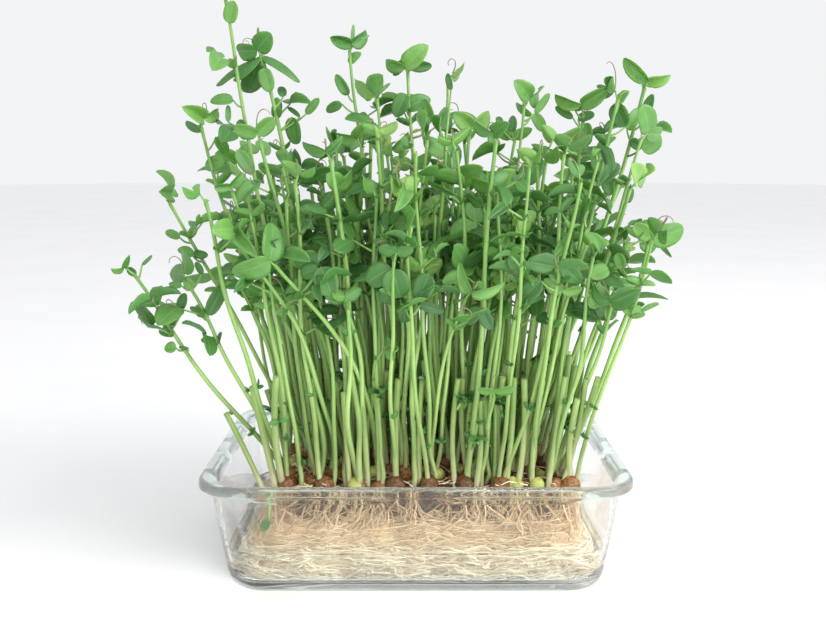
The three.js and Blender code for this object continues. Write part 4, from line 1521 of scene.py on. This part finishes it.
def draw_split_pea(x, y, z, radius, n):
    """Two green halves that have moved apart, in front of the torn coat."""
    apart = level(any_way(n, 138), 0.3) * radius * 0.3
    for k, hand in enumerate((1, -1)):
        draw_pea(splits, arrow(x, y, z + 0.2) + apart * hand, radius * 0.76, 0.5, (n, k), 9, 12)
    draw_pea(coats, (x - 1.4 * apart[0], y + 1.0, z - 0.9), radius * 0.9, chance(n, 137), (n, 1))


PEA_ROOM, SPLIT_SHARE = 6.9, 0.36
coats, splits = Bundle(), Bundle()
pea_spots = [(x, y, PEA_CENTRE, PEA * 1.05, n) for n, (x, y) in enumerate(sites)]
pea_spots += [(x, y, LOOSE_CENTRE, 4.9, 60 + n) for n, (x, y) in enumerate(loose_peas())]
for n in range(240):
    x, y = between(BED_LEFT + 4, BED_RIGHT - 4, n, 131), between(BED_FRONT + 3, BED_BACK - 4, n, 132)
    if all(math.hypot(x - px, y - py) > PEA_ROOM for px, py, *_ in pea_spots):
        pea_spots.append((x, y, BED_TOP + between(0.6, 2.6, n, 133), between(3.8, 4.5, n, 134), 200 + n))
for x, y, z, radius, n in pea_spots:
    if chance(n, 135) < SPLIT_SHARE:
        draw_split_pea(x, y, z, radius, n)
    else:
        draw_pea(coats, (x, y, z), radius, chance(n, 136), (n,))
print("peas:", len(pea_spots))
coat_piece = coats.make("peas_in_coats", seed_coat)
split_piece = splits.make("split_peas", split_pea)
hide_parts("seed_bed")


# %% The bed that they lie in
BED_STEPS, BED_ROUGH = 150, 1.3


def roughness_at(x, y, z):
    """Broad lumps and finer ones on top of them."""
    return noise.noise(Vector((x * 0.16, y * 0.16, z))) + 0.5 * noise.noise(Vector((x * 0.5, y * 0.5, z)))


def bed_layer():
    """A lumpy slab of four rings up its edge and then rings that close in over its top."""
    layer = Bundle()
    half_x, half_y = (BED_RIGHT - BED_LEFT) / 2 - 1, (BED_BACK - BED_FRONT) / 2 - 1
    edge = rounded_ring(-half_x, half_x, -half_y, half_y, 9, 0, straight=24)[:, :2]
    edge = edge[np.linspace(0, len(edge) - 1, BED_STEPS).astype(int)]
    levels = [(0.975, 46.3), (0.99, 47.4), (1.0, 48.6), (0.99, 49.4)]
    levels += [(size, BED_TOP) for size in np.linspace(0.965, 0.03, 22)]
    rings = []
    for size, z in levels:
        flat = edge * size + arrow(BED_X, BED_Y)
        rough = np.array([roughness_at(x, y, z) for x, y in flat])
        rings.append(np.column_stack([flat, z + BED_ROUGH * rough]))
    layer.skin(np.array(rings), tube_grain(len(rings), BED_STEPS, 0.5))
    return layer.make("bed_of_tangle", bed_tangle)


bed_piece = bed_layer()
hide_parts("seed_bed")

# %% [markdown]
# ## Roots
# The mat is thousands of thin strands: some hang from the peas with dark gaps between them,
# others are woven into a dense felt lower down, and the lowest spread flat through the water.
# A grooved core keeps the mat closed, and its colour is painted shade for the gaps between strands. Strands
# are laid over it from a formula that walks round its sides.

# %% Height, and the mat's left, right, front and back there
MAT_LEVELS = np.array(
    [
        (MAT_BOTTOM, -79, 80, -50, 49),
        (8.5, -83, 84, -53.2, 53),
        (19.5, -84, 85, -54.4, 54),
        (26, -77, 82, -56.5, 55),
        (36, -68, 78, -58, 54),
        (MAT_TOP, -66, 76, -58, 52),
    ],
    float,
)
PLAN_HALF_X, PLAN_HALF_Y = 77, 56
plan = rounded_ring(-PLAN_HALF_X, PLAN_HALF_X, -PLAN_HALF_Y, PLAN_HALF_Y, 17, 0, 12)[:, :2]
plan = np.concatenate([plan, plan[:1]])
plan_steps = np.linalg.norm(np.diff(plan, axis=0), axis=1)
plan_along = np.concatenate([[0], np.cumsum(plan_steps)]) / plan_steps.sum()


def mat_point(around, height, out):
    """A point on the mat's side: how far round from 0 to 1, its height, and how far out of the side."""
    around = np.mod(around, 1)
    px = np.interp(around, plan_along, plan[:, 0]) / PLAN_HALF_X
    py = np.interp(around, plan_along, plan[:, 1]) / PLAN_HALF_Y
    left, right, front, back = (np.interp(height, MAT_LEVELS[:, 0], side) for side in MAT_LEVELS.T[1:])
    x = (left + right) / 2 + px * ((right - left) / 2 + out)
    y = (front + back) / 2 + py * ((back - front) / 2 + out)
    return np.stack([x, y, np.broadcast_to(height, x.shape)], axis=-1)


# %% Many strands at once
def draw_strands(bundle, paths, radii, tones, sides=4):
    """Paths are strands by points by 3, and radii and tones have one value for each strand or point."""
    count, points = paths.shape[:2]
    ahead = np.gradient(paths, axis=1)
    ahead /= np.linalg.norm(ahead, axis=2, keepdims=True) + 1e-9
    side = np.cross(ahead, arrow(0.31, 0.22, 0.92))
    side /= np.linalg.norm(side, axis=2, keepdims=True) + 1e-9
    third = np.cross(ahead, side)
    angles = fan(sides)[:, None]
    ring = side[:, :, None] * np.cos(angles) + third[:, :, None] * np.sin(angles)
    rings = paths[:, :, None] + ring * np.broadcast_to(radii, (count, points))[..., None, None]
    grains = np.zeros((count, points, sides, 3))
    grains[..., 0] = np.linspace(0, 1, points)[:, None]
    grains[..., 2] = np.broadcast_to(tones, (count, points))[..., None]
    for strand, grain in zip(rings, grains):
        bundle.skin(strand, grain)


# %% [markdown]
# The strands grow paler towards the bottom, where the water has kept them clean and young.
# Each kind has its own range of heights, and the ranges overlap, so that no edge shows where one kind ends.
# A woven or spread strand that would leave its range turns back into it.

# %% Strands that hang, weave and spread
rng = np.random.default_rng(41)
upper, lower = Bundle(), Bundle()
points = 9
s = np.linspace(0, 1, points)[None, :]


def column(low, high, count):
    """One value for each strand, which is the same at all its points."""
    return rng.uniform(low, high, (count, 1))


def wander(count, size):
    """A smooth random walk for each strand, which starts at nought."""
    steps = rng.normal(0, 1, (count, points))
    steps = (steps + np.roll(steps, 1, axis=1)) / 2
    walk = np.cumsum(steps, axis=1)
    return (walk - walk[:, :1]) * size


def kept_between(values, low, high):
    values = np.where(values < low, 2 * low - values, values)
    values = np.where(values > high, 2 * high - values, values)
    return np.clip(values, low, high)


def hanging_strands(count, tufts):
    starts = rng.uniform(0, 1, tufts)[rng.integers(0, tufts, (count, 1))] + rng.normal(0, 0.0035, (count, 1))
    around = starts + wander(count, 0.0045) + rng.normal(0, 0.017, (count, 1)) * s
    height = column(48, 50.5, count) - column(14, 27, count) * s
    depth = column(-6, 1.0, count) + 3.4 * np.sin(math.pi * s) * column(0, 1, count)
    tones = 0.52 + column(0.05, 0.5, count) * (1 - 0.6 * s)
    draw_strands(upper, mat_point(around, height, depth), column(0.22, 0.5, count), tones)


def woven_strands(count):
    turn = rng.choice([-1, 1], (count, 1))
    around = column(0, 1, count) + turn * column(0.012, 0.065, count) * s + wander(count, 0.003)
    start = column(14, 37, count)
    height = start + rng.normal(0, 7.0, (count, 1)) * s + wander(count, 0.9)
    height = kept_between(height, 12, 41)
    depth = column(-2.5, 1.4, count) + wander(count, 0.4)
    tones = 0.22 + 0.018 * (height - 14) + column(-0.14, 0.16, count)
    draw_strands(upper, mat_point(around, height, np.minimum(depth, 2.4)), column(0.18, 0.36, count), tones)


def spread_strands(count):
    turn = rng.choice([-1, 1], (count, 1))
    around = column(0, 1, count) + turn * column(0.01, 0.045, count) * s + wander(count, 0.0035)
    start = column(5, 20, count)
    height = start + rng.normal(0, 4.6, (count, 1)) * s + wander(count, 1.0)
    height = kept_between(height, 4.5, 22)
    depth = column(-2.5, 3.2, count) + wander(count, 0.9)
    depth = np.minimum(depth, np.where((height > 8) & (height < 18), 5.0, 3.2))
    tones = 0.008 * (height - 5) + column(0, 0.1, count)
    draw_strands(lower, mat_point(around, height, depth), column(0.24, 0.5, count), tones)


hanging_strands(620, tufts=74)
woven_strands(900)
spread_strands(1200)
print("root points so far:", upper.count + lower.count)


# %% Rootlets that lie between the peas
def bed_rootlets(count, thin, thick, shortest, longest, palest):
    way = column(0, 2 * math.pi, count) + wander(count, 0.35)
    step = column(shortest, longest, count) / (points - 1)
    x = column(BED_LEFT + 4, BED_RIGHT - 4, count) + np.cumsum(np.cos(way) * step, axis=1)
    y = column(BED_FRONT + 2, BED_BACK - 4, count) + np.cumsum(np.sin(way) * step, axis=1)
    z = column(49.6, 53.5, count) + 2.2 * np.sin(math.pi * s) * column(-0.4, 1, count)
    x, y = np.clip(x, BED_LEFT, BED_RIGHT), np.clip(y, BED_FRONT, BED_BACK)
    draw_strands(upper, np.stack([x, y, z], axis=-1), column(thin, thick, count), column(palest, 0.75, count))


bed_rootlets(480, thin=0.16, thick=0.34, shortest=8, longest=22, palest=0.1)
bed_rootlets(80, thin=0.45, thick=0.75, shortest=7, longest=15, palest=0.5)
print("root points in all:", upper.count + lower.count)


# %% The grooved core of the mat
CORE_STEPS = 240
CORE_HEIGHTS = [MAT_BOTTOM + 0.3, 7, 12, 17, 22, 27, 31, 35, 39, 43, MAT_TOP]


def mat_core():
    """A closed form inside the strands, painted with shade: a little darker than the strands low down and
    dark brown at its top, so that the gaps between hanging roots look deep.
    """
    core = Bundle()
    around = np.arange(CORE_STEPS) / CORE_STEPS
    rings = []
    for k, z in enumerate(CORE_HEIGHTS):
        groove = np.array([between(-2.2, 0, i // 2, k // 2, 140) for i in range(CORE_STEPS)])
        inset = 4.0 if z > 34 else 1.4
        rings.append(mat_point(around, np.full(CORE_STEPS, z), groove - inset))
    rings = np.array(rings)
    grain = np.zeros(rings.shape)
    # The core's tones are painted shade for the gaps between strands: light below, darker in the middle and
    # dark brown at the top.
    grain[..., 2] = [[0.42 if z < 15 else 0.58 if z < 32 else 1.0] for z in CORE_HEIGHTS]
    core.skin(rings, grain)
    return core.make("root_core", root_strands)


core_piece = mat_core()
upper_piece = upper.make("roots_in_air", root_strands)
lower_piece = lower.make("roots_in_water", root_strands)
for piece in (core_piece, upper_piece, lower_piece):
    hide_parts("root_mat")

# %% [markdown]
# ## Floor, light and camera
# The tray stands on a plain pale floor in soft daylight from the right.
# The camera stands half a metre in front, as high as the upper leaves, and looks slightly down.


# %% A plain pale floor
FLOOR_RADIUS, FLOOR_STEPS = 6, 96


def floor_finish():
    material, shader = finish("pale_floor", 0.6)
    body = ramp(material, speckle(material, 6), [(0.3, colour(244, 244, 245)), (0.7, colour(248, 248, 249))])
    paint(material, shader, body)
    return material


def pale_floor():
    """A round sheet, half a millimetre below the tray's foot so that the two faces never coincide."""
    mesh = bpy.data.meshes.new("pale_floor")
    ring = [(FLOOR_RADIUS * math.cos(a), FLOOR_RADIUS * math.sin(a), -0.0005) for a in fan(FLOOR_STEPS)]
    mesh.from_pydata(ring, [], [list(range(FLOOR_STEPS))])
    mesh.materials.append(floor_finish())
    piece = bpy.data.objects.new("pale_floor", mesh)
    bpy.context.scene.collection.objects.link(piece)


pale_floor()
print("the floor is", 2 * FLOOR_RADIUS, "metres across")

# %% Sky light and two large soft lamps
scene = bpy.context.scene
scene.view_settings.view_transform = "Standard"
world = bpy.data.worlds.new("soft_daylight")
world.use_nodes = True
sky = world.node_tree.nodes["Background"]
sky.inputs["Color"].default_value = (0.965, 0.97, 0.985, 1)
sky.inputs["Strength"].default_value = 0.93
scene.world = world


def soft_lamp(name, place, aim, size, power, tint):
    lamp = bpy.data.lights.new(name, "AREA")
    lamp.shape = "SQUARE"
    lamp.size = size
    lamp.energy = power
    lamp.color = tint
    holder = bpy.data.objects.new(name, lamp)
    holder.location = place
    holder.rotation_euler = (Vector(aim) - Vector(place)).to_track_quat("-Z", "Y").to_euler()
    scene.collection.objects.link(holder)


soft_lamp("window_right", (1.1, -0.7, 1.0), (0, 0, 0.12), 0.9, 19, (1, 0.99, 0.96))
soft_lamp("room_front", (0.15, -1.1, 0.22), (0, -0.07, 0.05), 0.8, 3.6, (1, 0.99, 0.97))

# %% The camera
camera = bpy.data.cameras.new("front_camera")
camera.sensor_width = 36
camera.lens = camera.sensor_width * FOCAL_PIXELS / PICTURE_WIDE
camera.clip_start = 0.01
viewer = bpy.data.objects.new("front_camera", camera)
viewer.location = Vector(CAMERA_PLACE) * METRES
viewer.rotation_euler = (math.pi / 2 - CAMERA_PITCH, 0, 0)
scene.collection.objects.link(viewer)
scene.camera = viewer
print("lens:", round(camera.lens, 1), "mm on a sensor", camera.sensor_width, "mm wide")
